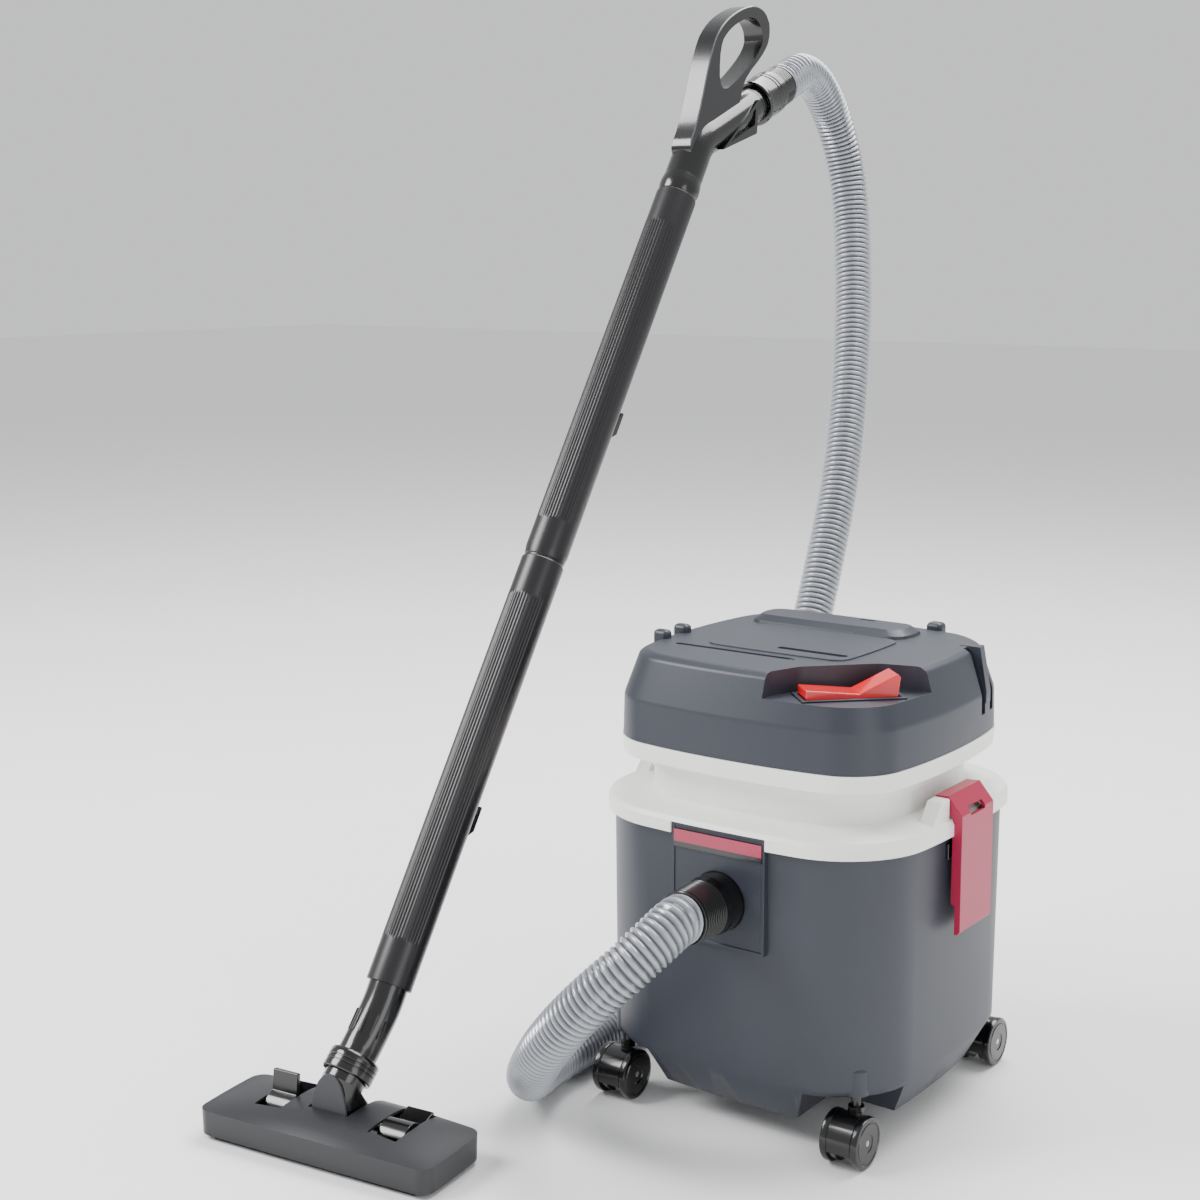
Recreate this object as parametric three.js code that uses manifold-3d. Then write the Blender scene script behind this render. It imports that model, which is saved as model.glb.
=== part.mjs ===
// Canister vacuum cleaner with a lift-off motor head, four twin-wheel casters,
// a ribbed hose, two plastic wands, a loop handle and a floor head.
// Millimetres, +Z up. The inlet faces -Y. The origin is on the floor, under the
// middle of the box that holds every piece except the hose and its two cuffs.
import * as THREE from 'three';
import { mergeVertices } from 'three/addons/utils/BufferGeometryUtils.js';
import Module from 'manifold-3d';

const wasm = await Module();
wasm.setup();

// ---------------------------------------------------------------- dimensions
const GAP = 0.3; // between pieces that touch
const PLAY = 0.5; // between pieces that slide or turn

// Plan outlines: half sizes at the corners, corner radius and how far a side bows out.
const FLANGE = { halfX: 165.3, halfY: 167.8, corner: 78.6, bow: 7.6 };
const HEAD = { halfX: 145, halfY: 145.9, corner: 42, bow: 13 };
const NECK_TIER = { halfX: 122.9, halfY: 121.6, corner: 42, bow: 13 };
const CORNER_STEPS = 4;
const SIDE_STEPS = 3;

const TANK = { inset: 6.6, draft: 2.2, bottom: 30, crease: 72, top: 306, wall: 3, foot: 20 };
const RING = { lip: 297.7, shoulder: 309, edge: 313.5, deckEdge: 315, foot: 317.4, wall: 3 };
const TIER = { shelf: 352, bottom: 356, top: 373.2, eye: 54, deck: 3 };
const COVER = { bottom: 373.6, crease: 414, shoulder: 455, top: 459.5, wall: 3, ridge: 470 };

const PLATE = { left: -50.9, right: 52.9, bottom: 194.3, top: 308.2, proud: 7.2 };
const INLET = { x: 2, z: 239, boss: 42, bossDepth: 8, bore: 29, hole: 31 };
const CUFF = { root: 28.5, tip: 26, bore: 20, inside: 26, length: 52 };

const SWITCH = { x: 96, y: -97, turn: Math.PI / 4, floor: 436, length: 92, width: 30, bezel: 5 };
const RECESS = {
  left: 34, back: -36, frontBend: -138, bendX: 46, bendY: -103, endX: 101, endY: -46, farX: 139, outside: 240,
};
const GLAND = { x: 0, z: 400, radius: 8, inner: 140, flange: 158.5, flangeRadius: 12, neck: 161, tip: 166 };
const LABEL = { margin: 3, thick: 0.8, height: 17, drop: 6 };

const LATCH = { y: 5, pivotX: 163, pivotZ: 327, width: 70, wall: 3, hook: 50, pin: 2.5 };
const CATCH = { reach: 9, bottom: 274, top: 290, width: 76 };
const EAR = { near: 155, far: 171, height: 334, tip: 17, foot: 37 };

const CORNERS = [
  [1, -1, 'front_right'], [-1, -1, 'front_left'], [1, 1, 'rear_right'], [-1, 1, 'rear_left'],
];
const CASTER = { x: 131, y: 133, trail: 12, radius: 25, drum: 21.5, axle: 3, stem: 5, stemTop: 84 };
const WHEEL = { inner: 5, flange: 12.8, outer: 20 };
const HOOD = { inner: 22.2, outer: 24.5, half: 12.3, web: 4.4 };
const POCKET = { ceiling: 64, reach: 56, taper: 13, wall: 3, boss: 12, bossTop: 92 };

const MOTOR = { radius: 60, bottom: 356, top: 446, chamber: 56, chamberTop: 384, shaft: 4 };
const FAN = { radius: 50, bottom: 360, top: 378, blades: 7 };
const CAGE = { radius: 58, wall: 2.5, bottom: 236, top: 348.4, slots: 8 };
const FILTER = { inner: 75, outer: 82, bottom: 240, top: 343 };
const FLOAT = { radius: 30, height: 26, bottom: 243 };

const WAND = { x: -280, y: -330, z: 140, lean: 33, radius: 23.25, bore: 21.2, length: 460, plug: 35 };
const CLIP = { at: 178, length: 40, width: 20, proud: 9 };
const HANDLE = { bendAt: 75, radius: 21.8, bore: 18, rise: 22.5, length: 130, spigot: 20, grip: 26 };
const HOSE_CUFF = { start: 131, end: 200, radius: 26.5, bore: 19 };

const ELBOW = { radius: 19.8, bore: 17, lean: 45, collar: 25.5, y: -381, z: 75, x: -283 };
const FLOOR_HEAD = { x: -280, y: -405, yaw: 6.56, halfX: 134, halfY: 47.5, corner: 13, bow: 1.2, band: 29 };
const SHELL = { bottom: 5, crown: 42, wall: 2.5 };
const SOLE = { bottom: 5, top: 9 };
const MOUTH = { half: 95, front: -16, back: 2 };
const TILT = { x: -4, y: 12, z: 22, half: 21.5, drum: 12, slot: 22.5 };
const PEDAL = { spread: 67, y: 7, z: 22, drum: 19, half: 15, reach: 39, thick: 5, plate: 18, raised: 66 };
const WELL = { front: -22, back: 46.5, low: 20 };
const BRUSH = { y: 40, half: 118, thick: 5, top: 12, lift: 5 };
const ROLLER = { x: 108, y: 26, radius: 8, half: 6 };

// The hose's centre line between its two straight ends, from the inlet cuff round the
// tank's left side to the handle cuff.
const HOSE_RADIUS = 24;
const HOSE_BORE = 21.5;
const HOSE_STEPS = 50;
const HOSE_STRAIGHT = 12;
const HOSE_ROUTE = [
  [-4, -273, 227], [-20, -297, 205], [-44, -310, 179],
  [-72, -313, 149], [-103, -305, 115], [-134, -285, 80], [-164, -254, 50], [-188, -216, 31],
  [-200, -177, 24.8], [-202, -135, 24.4], [-202, -90, 24.4], [-201, -45, 25], [-200, 0, 31],
  [-199, 45, 48], [-197, 92, 82], [-194, 140, 130], [-190, 188, 188], [-187, 236, 254],
  [-186, 284, 328], [-188, 330, 404], [-194, 376, 482], [-203, 424, 565], [-217, 468, 650],
  [-234, 508, 738], [-252, 540, 828], [-267, 558, 908], [-277, 556, 972], [-282, 530, 1026],
  [-281, 485, 1062], [-280, 445, 1070],
];

// ----------------------------------------------------------------- materials
const plastic = (color, roughness) => new THREE.MeshStandardMaterial({ color, roughness, metalness: 0 });
const metal = (color, roughness) => new THREE.MeshStandardMaterial({ color, roughness, metalness: 1 });
const FINISH = {
  slate: () => plastic(0x3b3f4a, 0.5),
  white: () => plastic(0xdfe0dc, 0.45),
  black: () => plastic(0x141417, 0.35),
  charcoal: () => plastic(0x2b2c31, 0.45),
  crimson: () => plastic(0xb31440, 0.4),
  red: () => plastic(0xd8232a, 0.35),
  silver: () => plastic(0xa2a6ac, 0.3),
  rubber: () => plastic(0x1c1c1e, 0.8),
  felt: () => plastic(0xcfcabd, 0.9),
  steel: () => metal(0xb8bcc2, 0.35),
  alloy: () => metal(0xa9adb2, 0.5),
};

// ------------------------------------------------------------ shape helpers
const radians = THREE.MathUtils.degToRad;

function weld(geometry) {
  const bare = geometry.clone();
  bare.deleteAttribute('normal');
  bare.deleteAttribute('uv');
  const merged = mergeVertices(bare, 1e-4);
  const index = merged.index.array;
  const kept = [];
  for (let i = 0; i < index.length; i += 3) {
    const [a, b, c] = [index[i], index[i + 1], index[i + 2]];
    if (a !== b && b !== c && a !== c) kept.push(a, b, c);
  }
  merged.setIndex(kept);
  return merged;
}

function toSolid(geometry) {
  const bare = weld(geometry);
  const vertProperties = new Float32Array(bare.attributes.position.array);
  const triVerts = new Uint32Array(bare.index.array);
  return new wasm.Manifold(new wasm.Mesh({ numProp: 3, vertProperties, triVerts }));
}

function toGeometry(solid) {
  const mesh = solid.getMesh();
  const geometry = new THREE.BufferGeometry();
  geometry.setAttribute('position', new THREE.Float32BufferAttribute(mesh.vertProperties, 3));
  geometry.setIndex([...mesh.triVerts]);
  return geometry;
}

function cut(body, ...tools) {
  return toGeometry(tools.reduce((solid, tool) => solid.subtract(toSolid(tool)), toSolid(body)));
}

function join(body, ...others) {
  return toGeometry(others.reduce((solid, other) => solid.add(toSolid(other)), toSolid(body)));
}

// A box between two corners.
function block(x0, x1, y0, y1, z0, z1) {
  const box = new THREE.BoxGeometry(x1 - x0, y1 - y0, z1 - z0);
  return box.translate((x0 + x1) / 2, (y0 + y1) / 2, (z0 + z1) / 2);
}

// A body of revolution about Z from [radius, z] pairs, which run with the solid on their left.
function turned(profile, segments) {
  const points = profile.map(([r, z]) => new THREE.Vector2(r, z));
  return new THREE.LatheGeometry(points, segments).rotateX(Math.PI / 2);
}

// A turned tube or ring: the same, with the profile closed on itself.
const turnedRing = (profile, segments) => turned([...profile, profile[0]], segments);

function rod(radius, z0, z1, segments = 20) {
  return turned([[0, z0], [radius, z0], [radius, z1], [0, z1]], segments);
}

const alongX = (geometry) => geometry.rotateY(Math.PI / 2);
const alongY = (geometry) => geometry.rotateX(-Math.PI / 2);

function polygon(points) {
  return new THREE.Shape(points.map(([u, v]) => new THREE.Vector2(u, v)));
}

function extrude(shape, depth, curveSegments = 8) {
  return new THREE.ExtrudeGeometry(shape, { depth, bevelEnabled: false, curveSegments });
}

// An outline drawn in (y, z), with its thickness along X and centred on x = 0.
function sideCut(points, width, holes = []) {
  const shape = polygon(points);
  shape.holes.push(...holes.map(polygon));
  const solid = extrude(shape, width).translate(0, 0, -width / 2);
  return solid.rotateX(Math.PI / 2).rotateZ(Math.PI / 2);
}

// An outline drawn in (x, z), with its thickness along Y and centred on y = 0.
function frontCut(points, width) {
  return extrude(polygon(points), width).translate(0, 0, -width / 2).rotateX(Math.PI / 2);
}

// A round bar along a list of points, and the same bar used as a bore.
function pipe(points, radius, steps, sides = 16) {
  const section = new THREE.Shape();
  for (let i = 0; i < sides; i++) {
    const angle = (2 * Math.PI * i) / sides;
    const [u, v] = [radius * Math.cos(angle), radius * Math.sin(angle)];
    if (i === 0) section.moveTo(u, v);
    else section.lineTo(u, v);
  }
  const path = new THREE.CatmullRomCurve3(points.map((p) => new THREE.Vector3(...p)));
  return new THREE.ExtrudeGeometry(section, { steps, extrudePath: path, curveSegments: 1 });
}

// A skin over rings of equal point count, each counter-clockwise seen from its far end.
// An open run of rings is capped at both ends; a closed run comes back to its first ring.
function loft(rings, closed = false) {
  const count = rings[0].length;
  const faces = [];
  const runs = closed ? rings.length : rings.length - 1;
  for (let r = 0; r < runs; r++) {
    const here = r * count;
    const next = ((r + 1) % rings.length) * count;
    for (let i = 0; i < count; i++) {
      const j = (i + 1) % count;
      faces.push(here + i, here + j, next + j, here + i, next + j, next + i);
    }
  }
  const last = (rings.length - 1) * count;
  for (let i = 1; i < count - 1 && !closed; i++) {
    faces.push(0, i + 1, i, last, last + i, last + i + 1);
  }
  const geometry = new THREE.BufferGeometry();
  const positions = rings.flat().flatMap((p) => [p.x, p.y, p.z]);
  geometry.setAttribute('position', new THREE.Float32BufferAttribute(positions, 3));
  geometry.setIndex(faces);
  return geometry;
}

// A rounded rectangle whose sides bow outwards, at a height.
function outline({ halfX, halfY, corner, bow }, inset, z) {
  const [a, b, radius] = [halfX - inset, halfY - inset, Math.max(corner - inset, 2)];
  const corners = [[1, 1], [-1, 1], [-1, -1], [1, -1]];
  const raw = [];
  corners.forEach(([sx, sy], quarter) => {
    for (let k = 0; k <= CORNER_STEPS; k++) {
      const angle = ((quarter + k / CORNER_STEPS) * Math.PI) / 2;
      const [midX, midY] = [sx * (a - radius), sy * (b - radius)];
      raw.push([midX + radius * Math.cos(angle), midY + radius * Math.sin(angle)]);
    }
    const [x0, y0] = raw[raw.length - 1];
    const [nextX, nextY] = corners[(quarter + 1) % 4];
    const turn = ((quarter + 1) * Math.PI) / 2;
    const x1 = nextX * (a - radius) + radius * Math.cos(turn);
    const y1 = nextY * (b - radius) + radius * Math.sin(turn);
    for (let k = 1; k < SIDE_STEPS; k++) {
      const t = k / SIDE_STEPS;
      raw.push([x0 + (x1 - x0) * t, y0 + (y1 - y0) * t]);
    }
  });
  return raw.map(([x, y]) => {
    const [u, v] = [x / a, y / b];
    const outX = Math.sign(x) * bow * Math.abs(u) ** 6 * (1 - v * v);
    const outY = Math.sign(y) * bow * Math.abs(v) ** 6 * (1 - u * u);
    return new THREE.Vector3(x + outX, y + outY, z);
  });
}

// A circle with the same number of points, each on the same bearing as the outline's.
function roundRing(radius, z, like = HEAD) {
  return outline(like, 0, z).map((p) => {
    const scale = radius / Math.hypot(p.x, p.y);
    return new THREE.Vector3(p.x * scale, p.y * scale, z);
  });
}

function add(parent, name, geometry, finish) {
  const mesh = new THREE.Mesh(weld(geometry), FINISH[finish]());
  mesh.name = name;
  parent.add(mesh);
  return mesh;
}

// -------------------------------------------------------------- the canister
function tankOuter(grow, top = TANK.top) {
  const side = TANK.inset - grow;
  return loft([
    outline(FLANGE, side + TANK.draft + TANK.foot, TANK.bottom),
    outline(FLANGE, side + TANK.draft, TANK.crease),
    outline(FLANGE, side, top),
  ]);
}

function tankInner() {
  const side = TANK.inset + TANK.wall;
  const above = 1;
  return loft([
    outline(FLANGE, side + TANK.draft + TANK.foot, TANK.bottom + TANK.wall),
    outline(FLANGE, side + TANK.draft, TANK.crease + TANK.wall),
    outline(FLANGE, side, TANK.top + above),
  ]);
}

// The space above a caster, open towards the corner, and the same with its walls added.
function casterPocket(sx, sy, wall) {
  const [x, y, far] = [CASTER.x, CASTER.y, 240];
  const ring = (reach, z) => {
    const [x0, y0] = [x - reach - wall, y - reach - wall];
    const square = [[x0, y0], [far, y0], [far, far], [x0, far]];
    const placed = square.map(([u, v]) => new THREE.Vector3(sx * u, sy * v, z));
    return sx * sy > 0 ? placed : placed.reverse();
  };
  const floor = TANK.bottom - 10;
  return loft([ring(POCKET.reach + 4, floor), ring(POCKET.reach - POCKET.taper, POCKET.ceiling + wall)]);
}

function tank() {
  let outer = toSolid(tankOuter(0));
  let inner = toSolid(tankInner());
  for (const [sx, sy] of CORNERS) {
    const [x, y] = [sx * CASTER.x, sy * CASTER.y];
    const boss = rod(POCKET.boss, POCKET.ceiling - 5, POCKET.bossTop).translate(x, y, 0);
    const bore = rod(CASTER.stem + PLAY, 0, CASTER.stemTop + PLAY).translate(x, y, 0);
    outer = outer.subtract(toSolid(casterPocket(sx, sy, 0))).subtract(toSolid(bore));
    inner = inner.subtract(toSolid(casterPocket(sx, sy, POCKET.wall))).subtract(toSolid(boss));
  }
  const inletHole = alongY(rod(INLET.hole, -40, 40, 24)).translate(INLET.x, -FLANGE.halfY, INLET.z);
  return toGeometry(outer.subtract(inner).subtract(toSolid(inletHole)));
}

function latchCatch(side) {
  const face = FLANGE.halfX - TANK.inset;
  const outer = LATCH.pivotX + CATCH.reach;
  const [y0, y1] = [LATCH.y - CATCH.width / 2, LATCH.y + CATCH.width / 2];
  const bar = block(face - 8, outer, y0, y1, CATCH.bottom, CATCH.top);
  if (side < 0) bar.translate(-(face - 8 + outer), 0, 0);
  return cut(bar, tankOuter(GAP));
}

function inletPlate() {
  const face = -(FLANGE.halfY + FLANGE.bow - TANK.inset + PLATE.proud);
  const plate = block(PLATE.left, PLATE.right, face, -FLANGE.halfY + 15, PLATE.bottom, PLATE.top);
  const boss = alongY(rod(INLET.boss, -INLET.bossDepth, 8, 32)).translate(INLET.x, face, INLET.z);
  const bore = alongY(rod(INLET.bore + PLAY, -60, 60, 28)).translate(INLET.x, face, INLET.z);
  return cut(join(plate, boss), bore, tankOuter(GAP, PLATE.top + 5));
}

function inletLabel() {
  const face = -(FLANGE.halfY + FLANGE.bow - TANK.inset + PLATE.proud) - GAP;
  const [x0, x1] = [PLATE.left + LABEL.margin, PLATE.right - LABEL.margin];
  const top = PLATE.top - LABEL.drop;
  return block(x0, x1, face - LABEL.thick, face, top - LABEL.height, top);
}

function inletSeal() {
  const face = -(FLANGE.halfY + FLANGE.bow - TANK.inset);
  const [inner, outer, depth] = [CUFF.root + GAP, INLET.bore + 0.2, 6];
  const ring = turnedRing([[inner, -depth], [outer, -depth], [outer, 0], [inner, 0]], 28);
  return alongY(ring).translate(INLET.x, face, INLET.z);
}

// How far the face of the inlet boss stands in front of the canister's middle.
const inletFace = () => FLANGE.halfY + FLANGE.bow - TANK.inset + PLATE.proud + INLET.bossDepth;

function inletCuff() {
  const face = inletFace();
  const outside = face + CUFF.length;
  const inside = face - CUFF.inside;
  const shell = turnedRing([
    [CUFF.bore, inside], [CUFF.root, inside], [CUFF.root, face + 8], [CUFF.tip + 1, face + 30],
    [CUFF.tip, outside], [CUFF.bore, outside],
  ], 28);
  return alongY(shell.rotateX(Math.PI)).translate(INLET.x, 0, INLET.z);
}

// ------------------------------------------------------------ the motor head
const above = (solid, height) => solid.trimByPlane([0, 0, 1], height);
const below = (solid, height) => solid.trimByPlane([0, 0, -1], -height);

function ringBody() {
  const w = RING.wall;
  const deck = TIER.shelf - TIER.deck;
  return loft([
    outline(FLANGE, 0, RING.lip),
    outline(FLANGE, 0, RING.shoulder),
    outline(FLANGE, 2.5, RING.edge),
    outline(FLANGE, 9, RING.deckEdge),
    outline(NECK_TIER, 0, RING.foot),
    outline(NECK_TIER, 0.6, TIER.shelf),
    outline(HEAD, 0.8, TIER.bottom),
    outline(HEAD, 0.5, TIER.top),
    outline(HEAD, 0.5 + w, TIER.top),
    outline(HEAD, 0.8 + w, TIER.bottom + w),
    outline(NECK_TIER, 1 + w, TIER.bottom + w - 1),
    outline(NECK_TIER, 1 + w, TIER.shelf),
    roundRing(TIER.eye, TIER.shelf),
    roundRing(TIER.eye, deck),
    outline(NECK_TIER, 1 + w, deck),
    outline(NECK_TIER, w, RING.foot),
    outline(FLANGE, 9, RING.deckEdge - w),
    outline(FLANGE, w, RING.edge - w),
    outline(FLANGE, w, RING.lip),
  ], true);
}

function latchEar(side, end) {
  const near = LATCH.width / 2 + PLAY;
  const base = RING.shoulder + 3;
  const profile = [[near, base], [near + EAR.foot, base], [near + EAR.tip, EAR.height], [near, EAR.height]];
  const points = profile.map(([y, z]) => [end * y, z]);
  const ear = sideCut(end > 0 ? points : points.reverse(), EAR.far - EAR.near);
  return ear.translate((side * (EAR.near + EAR.far)) / 2, LATCH.y, 0);
}

function coverRing() {
  let body = below(toSolid(ringBody()), TIER.shelf);
  const notch = block(PLATE.left - 0.6, PLATE.right + 0.6, -200, -150, RING.lip - 5, PLATE.top + PLAY);
  body = body.subtract(toSolid(notch));
  for (const side of [1, -1]) {
    for (const end of [1, -1]) body = body.add(toSolid(latchEar(side, end)));
    const pinHole = alongY(rod(LATCH.pin + GAP, -60, 60, 16));
    body = body.subtract(toSolid(pinHole.translate(side * LATCH.pivotX, LATCH.y, LATCH.pivotZ)));
  }
  return toGeometry(body);
}

const motorSeat = () => toGeometry(above(toSolid(ringBody()), TIER.shelf + GAP));

function rimSeal() {
  const [inner, outer] = [TANK.inset + TANK.wall + 1.5, TANK.inset + 0.5];
  const [low, high] = [TANK.top + GAP, RING.deckEdge - RING.wall - GAP - 1.2];
  return loft([
    outline(FLANGE, outer, low), outline(FLANGE, outer, high),
    outline(FLANGE, inner, high), outline(FLANGE, inner, low),
  ], true);
}

function recessSolid(grow) {
  const r = RECESS;
  const far = r.outside;
  const points = [
    [r.left - grow, -far], [far, -far], [far, r.back + grow], [r.farX - grow, r.back + grow],
    [r.endX - grow * 0.7, r.endY + grow * 0.7], [r.bendX - grow * 0.9, r.bendY + grow * 0.5],
    [r.left - grow, r.frontBend + grow * 0.3],
  ];
  return extrude(polygon(points), 80).translate(0, 0, SWITCH.floor - grow);
}

function coverLoft(inset, drop) {
  return loft([
    outline(HEAD, inset, COVER.bottom - (inset ? 2 : 0)),
    outline(HEAD, inset + 0.9, COVER.crease - drop / 2),
    outline(HEAD, inset + 10, COVER.shoulder - drop),
    outline(HEAD, inset + 15, COVER.top - drop),
  ]);
}

// The raised carrying ridge at the back of the lid.
function ridge() {
  const plan = (inset, z) => {
    const shape = { halfX: 82, halfY: 24, corner: 12, bow: 4 };
    return outline(shape, inset, z).map((p) => p.setY(p.y + 92).setX(p.x - 16));
  };
  return loft([plan(0, COVER.top - 8), plan(2, COVER.top + 6), plan(6, COVER.ridge)]);
}

// Upright ribs that the mains lead is wound behind.
function cordRibs() {
  const z0 = COVER.crease - 8;
  const top = COVER.top + 8;
  const right = block(132, 150, 78, 92, z0, top);
  const leftFront = block(-150, -128, -68, -56, z0, top);
  const leftRear = block(-150, -128, -30, -18, z0, top);
  const rear = block(60, 78, 134, 151, z0, top);
  return [right, leftFront, leftRear, rear];
}

function motorCover() {
  let outer = toSolid(coverLoft(0, 0)).add(toSolid(ridge()));
  const clip = toSolid(tallOutline());
  for (const rib of cordRibs()) outer = outer.add(toSolid(rib).intersect(clip));
  for (const [y0, y1] of [[66, 78], [92, 104]]) {
    outer = outer.subtract(toSolid(block(140, 170, y0, y1, COVER.crease - 18, COVER.top + 10)));
  }
  outer = outer.subtract(toSolid(recessSolid(0)));
  const inner = toSolid(coverLoft(COVER.wall, COVER.wall)).subtract(toSolid(recessSolid(COVER.wall)));
  const wells = [block(137, 175, 63, 107, COVER.bottom, COVER.top)];
  const hollow = wells.reduce((solid, well) => solid.subtract(toSolid(well)), inner);
  const shell = outer.subtract(hollow).subtract(toSolid(switchWell(PLAY)));
  return toGeometry(shell.subtract(toSolid(glandHole())));
}

// The head's outline carried straight up, which the ribs stay inside.
function tallOutline() {
  return loft([outline(HEAD, 1, COVER.bottom + 5), outline(HEAD, 3, COVER.top + 20)]);
}

function switchWell(grow) {
  const [a, b] = [SWITCH.length / 2 + grow, SWITCH.width / 2 + grow];
  const well = block(-a, a, -b, b, SWITCH.floor - 20, SWITCH.floor + 4);
  return well.rotateZ(SWITCH.turn).translate(SWITCH.x, SWITCH.y, 0);
}

function switchBezel() {
  const [a, b, w] = [SWITCH.length / 2, SWITCH.width / 2, SWITCH.bezel];
  const z = SWITCH.floor + GAP;
  const frame = block(-a - w, a + w, -b - w, b + w, z, z + 1.5);
  const placed = frame.rotateZ(SWITCH.turn).translate(SWITCH.x, SWITCH.y, 0);
  return cut(placed, switchWell(PLAY));
}

// A paddle rocker with a valley: its low end is flat and its high end stands up.
function switchRocker() {
  const a = SWITCH.length / 2;
  const top = [[-a, 2], [-a, 10.5], [6, 5.5], [a - 3, 23], [a, 20]];
  const foot = [[a - 2, 6], [a - 2, 2], [a - 8, -5], [-a + 8, -5]];
  const profile = [...top, ...foot];
  return frontCut(profile.reverse(), SWITCH.width);
}

function switchBody() {
  const body = block(-30, 30, -12, 12, SWITCH.floor - 48, SWITCH.floor - 22);
  return body.rotateZ(SWITCH.turn).translate(SWITCH.x, SWITCH.y, 0);
}

const glandHole = () => alongY(rod(GLAND.radius + GAP, 120, 180)).translate(GLAND.x, 0, GLAND.z);

function cordGland() {
  const { radius, inner, flange, flangeRadius, neck: step, tip } = GLAND;
  const profile = [
    [0, inner], [radius, inner], [radius, flange], [flangeRadius, flange], [flangeRadius, step],
    [radius - 1, tip], [0, tip],
  ];
  return alongY(turned(profile, 16)).translate(GLAND.x, 0, GLAND.z);
}

function motorBody() {
  const m = MOTOR;
  return turned([
    [0, m.chamberTop], [m.chamber, m.chamberTop], [m.chamber, m.bottom], [m.radius, m.bottom],
    [m.radius, m.chamberTop + 6], [m.radius - 8, m.chamberTop + 12], [m.radius - 8, m.top - 6],
    [m.radius - 14, m.top], [0, m.top],
  ], 32);
}

function impeller() {
  const f = FAN;
  const eye = 20;
  const plates = [[f.bottom, f.bottom + 2, eye], [f.top - 2, f.top, 0]];
  const [lower, upper] = plates.map(([z0, z1, hole]) => {
    const profile = [[hole, z0], [f.radius, z0], [f.radius, z1], [hole, z1]];
    return hole ? turnedRing(profile, 24) : turned(profile, 24);
  });
  let body = toSolid(upper).add(toSolid(lower)).add(toSolid(rod(12, f.bottom + 3, f.top, 12)));
  for (let i = 0; i < f.blades; i++) {
    const blade = block(10, f.radius - 1, -0.8, 0.8, f.bottom + 1, f.top - 1);
    body = body.add(toSolid(blade.rotateZ((i * 2 * Math.PI) / f.blades)));
  }
  return toGeometry(body);
}

function filterCage() {
  const c = CAGE;
  let body = toSolid(turned([
    [0, c.bottom], [c.radius, c.bottom], [c.radius, c.top - 4], [c.radius + 26, c.top - 4],
    [c.radius + 26, c.top - 1], [c.radius - c.wall, c.top - 1],
    [c.radius - c.wall, c.bottom + 3], [0, c.bottom + 3],
  ], 32));
  for (let i = 0; i < c.slots / 2; i++) {
    const slot = block(-80, 80, -14, 14, c.bottom + 12, c.top - 26);
    body = body.subtract(toSolid(slot.rotateZ((i * Math.PI) / (c.slots / 2))));
  }
  return toGeometry(body);
}

function clothFilter() {
  const f = FILTER;
  return turnedRing([
    [f.inner, f.bottom], [f.outer - 3, f.bottom], [f.outer, f.bottom + 4], [f.outer, f.top], [f.inner, f.top],
  ], 32);
}

function floatCup() {
  const f = FLOAT;
  const top = f.bottom + f.height;
  return turned([
    [0, f.bottom], [f.radius - 8, f.bottom], [f.radius, f.bottom + 8], [f.radius, top], [0, top],
  ], 24);
}

// ------------------------------------------------------------------- latches
// The latch is drawn as (outwards, up) from its hinge pin and swings out and up.
function latch() {
  const outer = [
    [-8, -7], [6, -7], [11, -13], [11, -97], [15, -99], [15, -127], [18, -127], [21, -124],
    [21, -9], [6, 9], [-8, 8],
  ];
  const hollow = [[-9, -20], [0, -96], [18, -96], [18, -10.3], [4.8, 5.5], [-9, 4.5]];
  const hook = [[CATCH.reach + PLAY, -61], [18.5, -66], [18.5, -57], [CATCH.reach + PLAY, -57]];
  const shell = cut(frontCut(outer, LATCH.width), frontCut(hollow, LATCH.width - 2 * LATCH.wall));
  const barrel = alongY(rod(LATCH.pin + 3, -LATCH.width / 2, LATCH.width / 2, 16));
  const bore = alongY(rod(LATCH.pin + GAP, -60, 60, 16));
  const slot = block(8, 30, -16, 16, -12, -4);
  return cut(join(shell, frontCut(hook, LATCH.hook), barrel), bore, slot);
}

// ------------------------------------------------------------------- casters
function casterHousing() {
  const { trail, radius } = CASTER;
  const arc = (r, from, to, steps) => Array.from({ length: steps + 1 }, (_, i) => {
    const angle = radians(from + ((to - from) * i) / steps);
    return [trail + r * Math.cos(angle), radius + r * Math.sin(angle)];
  });
  const sector = [...arc(HOOD.outer, -18, 198, 12), ...arc(HOOD.inner, 198, -18, 12)];
  const web = arc(HOOD.inner + 1, -18, 198, 10);
  const stem = rod(CASTER.stem, radius + HOOD.inner + 1, CASTER.stemTop, 12);
  const cap = rod(CASTER.stem + 3, radius + HOOD.inner + 1, radius + HOOD.outer + 4, 12);
  const bore = alongX(rod(CASTER.axle + GAP, -30, 30, 12)).translate(0, trail, radius);
  return cut(join(sideCut(sector, 2 * HOOD.half), sideCut(web, 2 * HOOD.web), stem, cap), bore);
}

function casterWheel() {
  const [bore, { radius, drum }] = [CASTER.axle + GAP, CASTER];
  const { inner, flange, outer } = WHEEL;
  return turnedRing([
    [bore, inner], [drum, inner], [drum, flange], [radius, flange],
    [radius, outer - 1.5], [radius - 1.5, outer], [bore, outer],
  ], 18);
}

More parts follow.
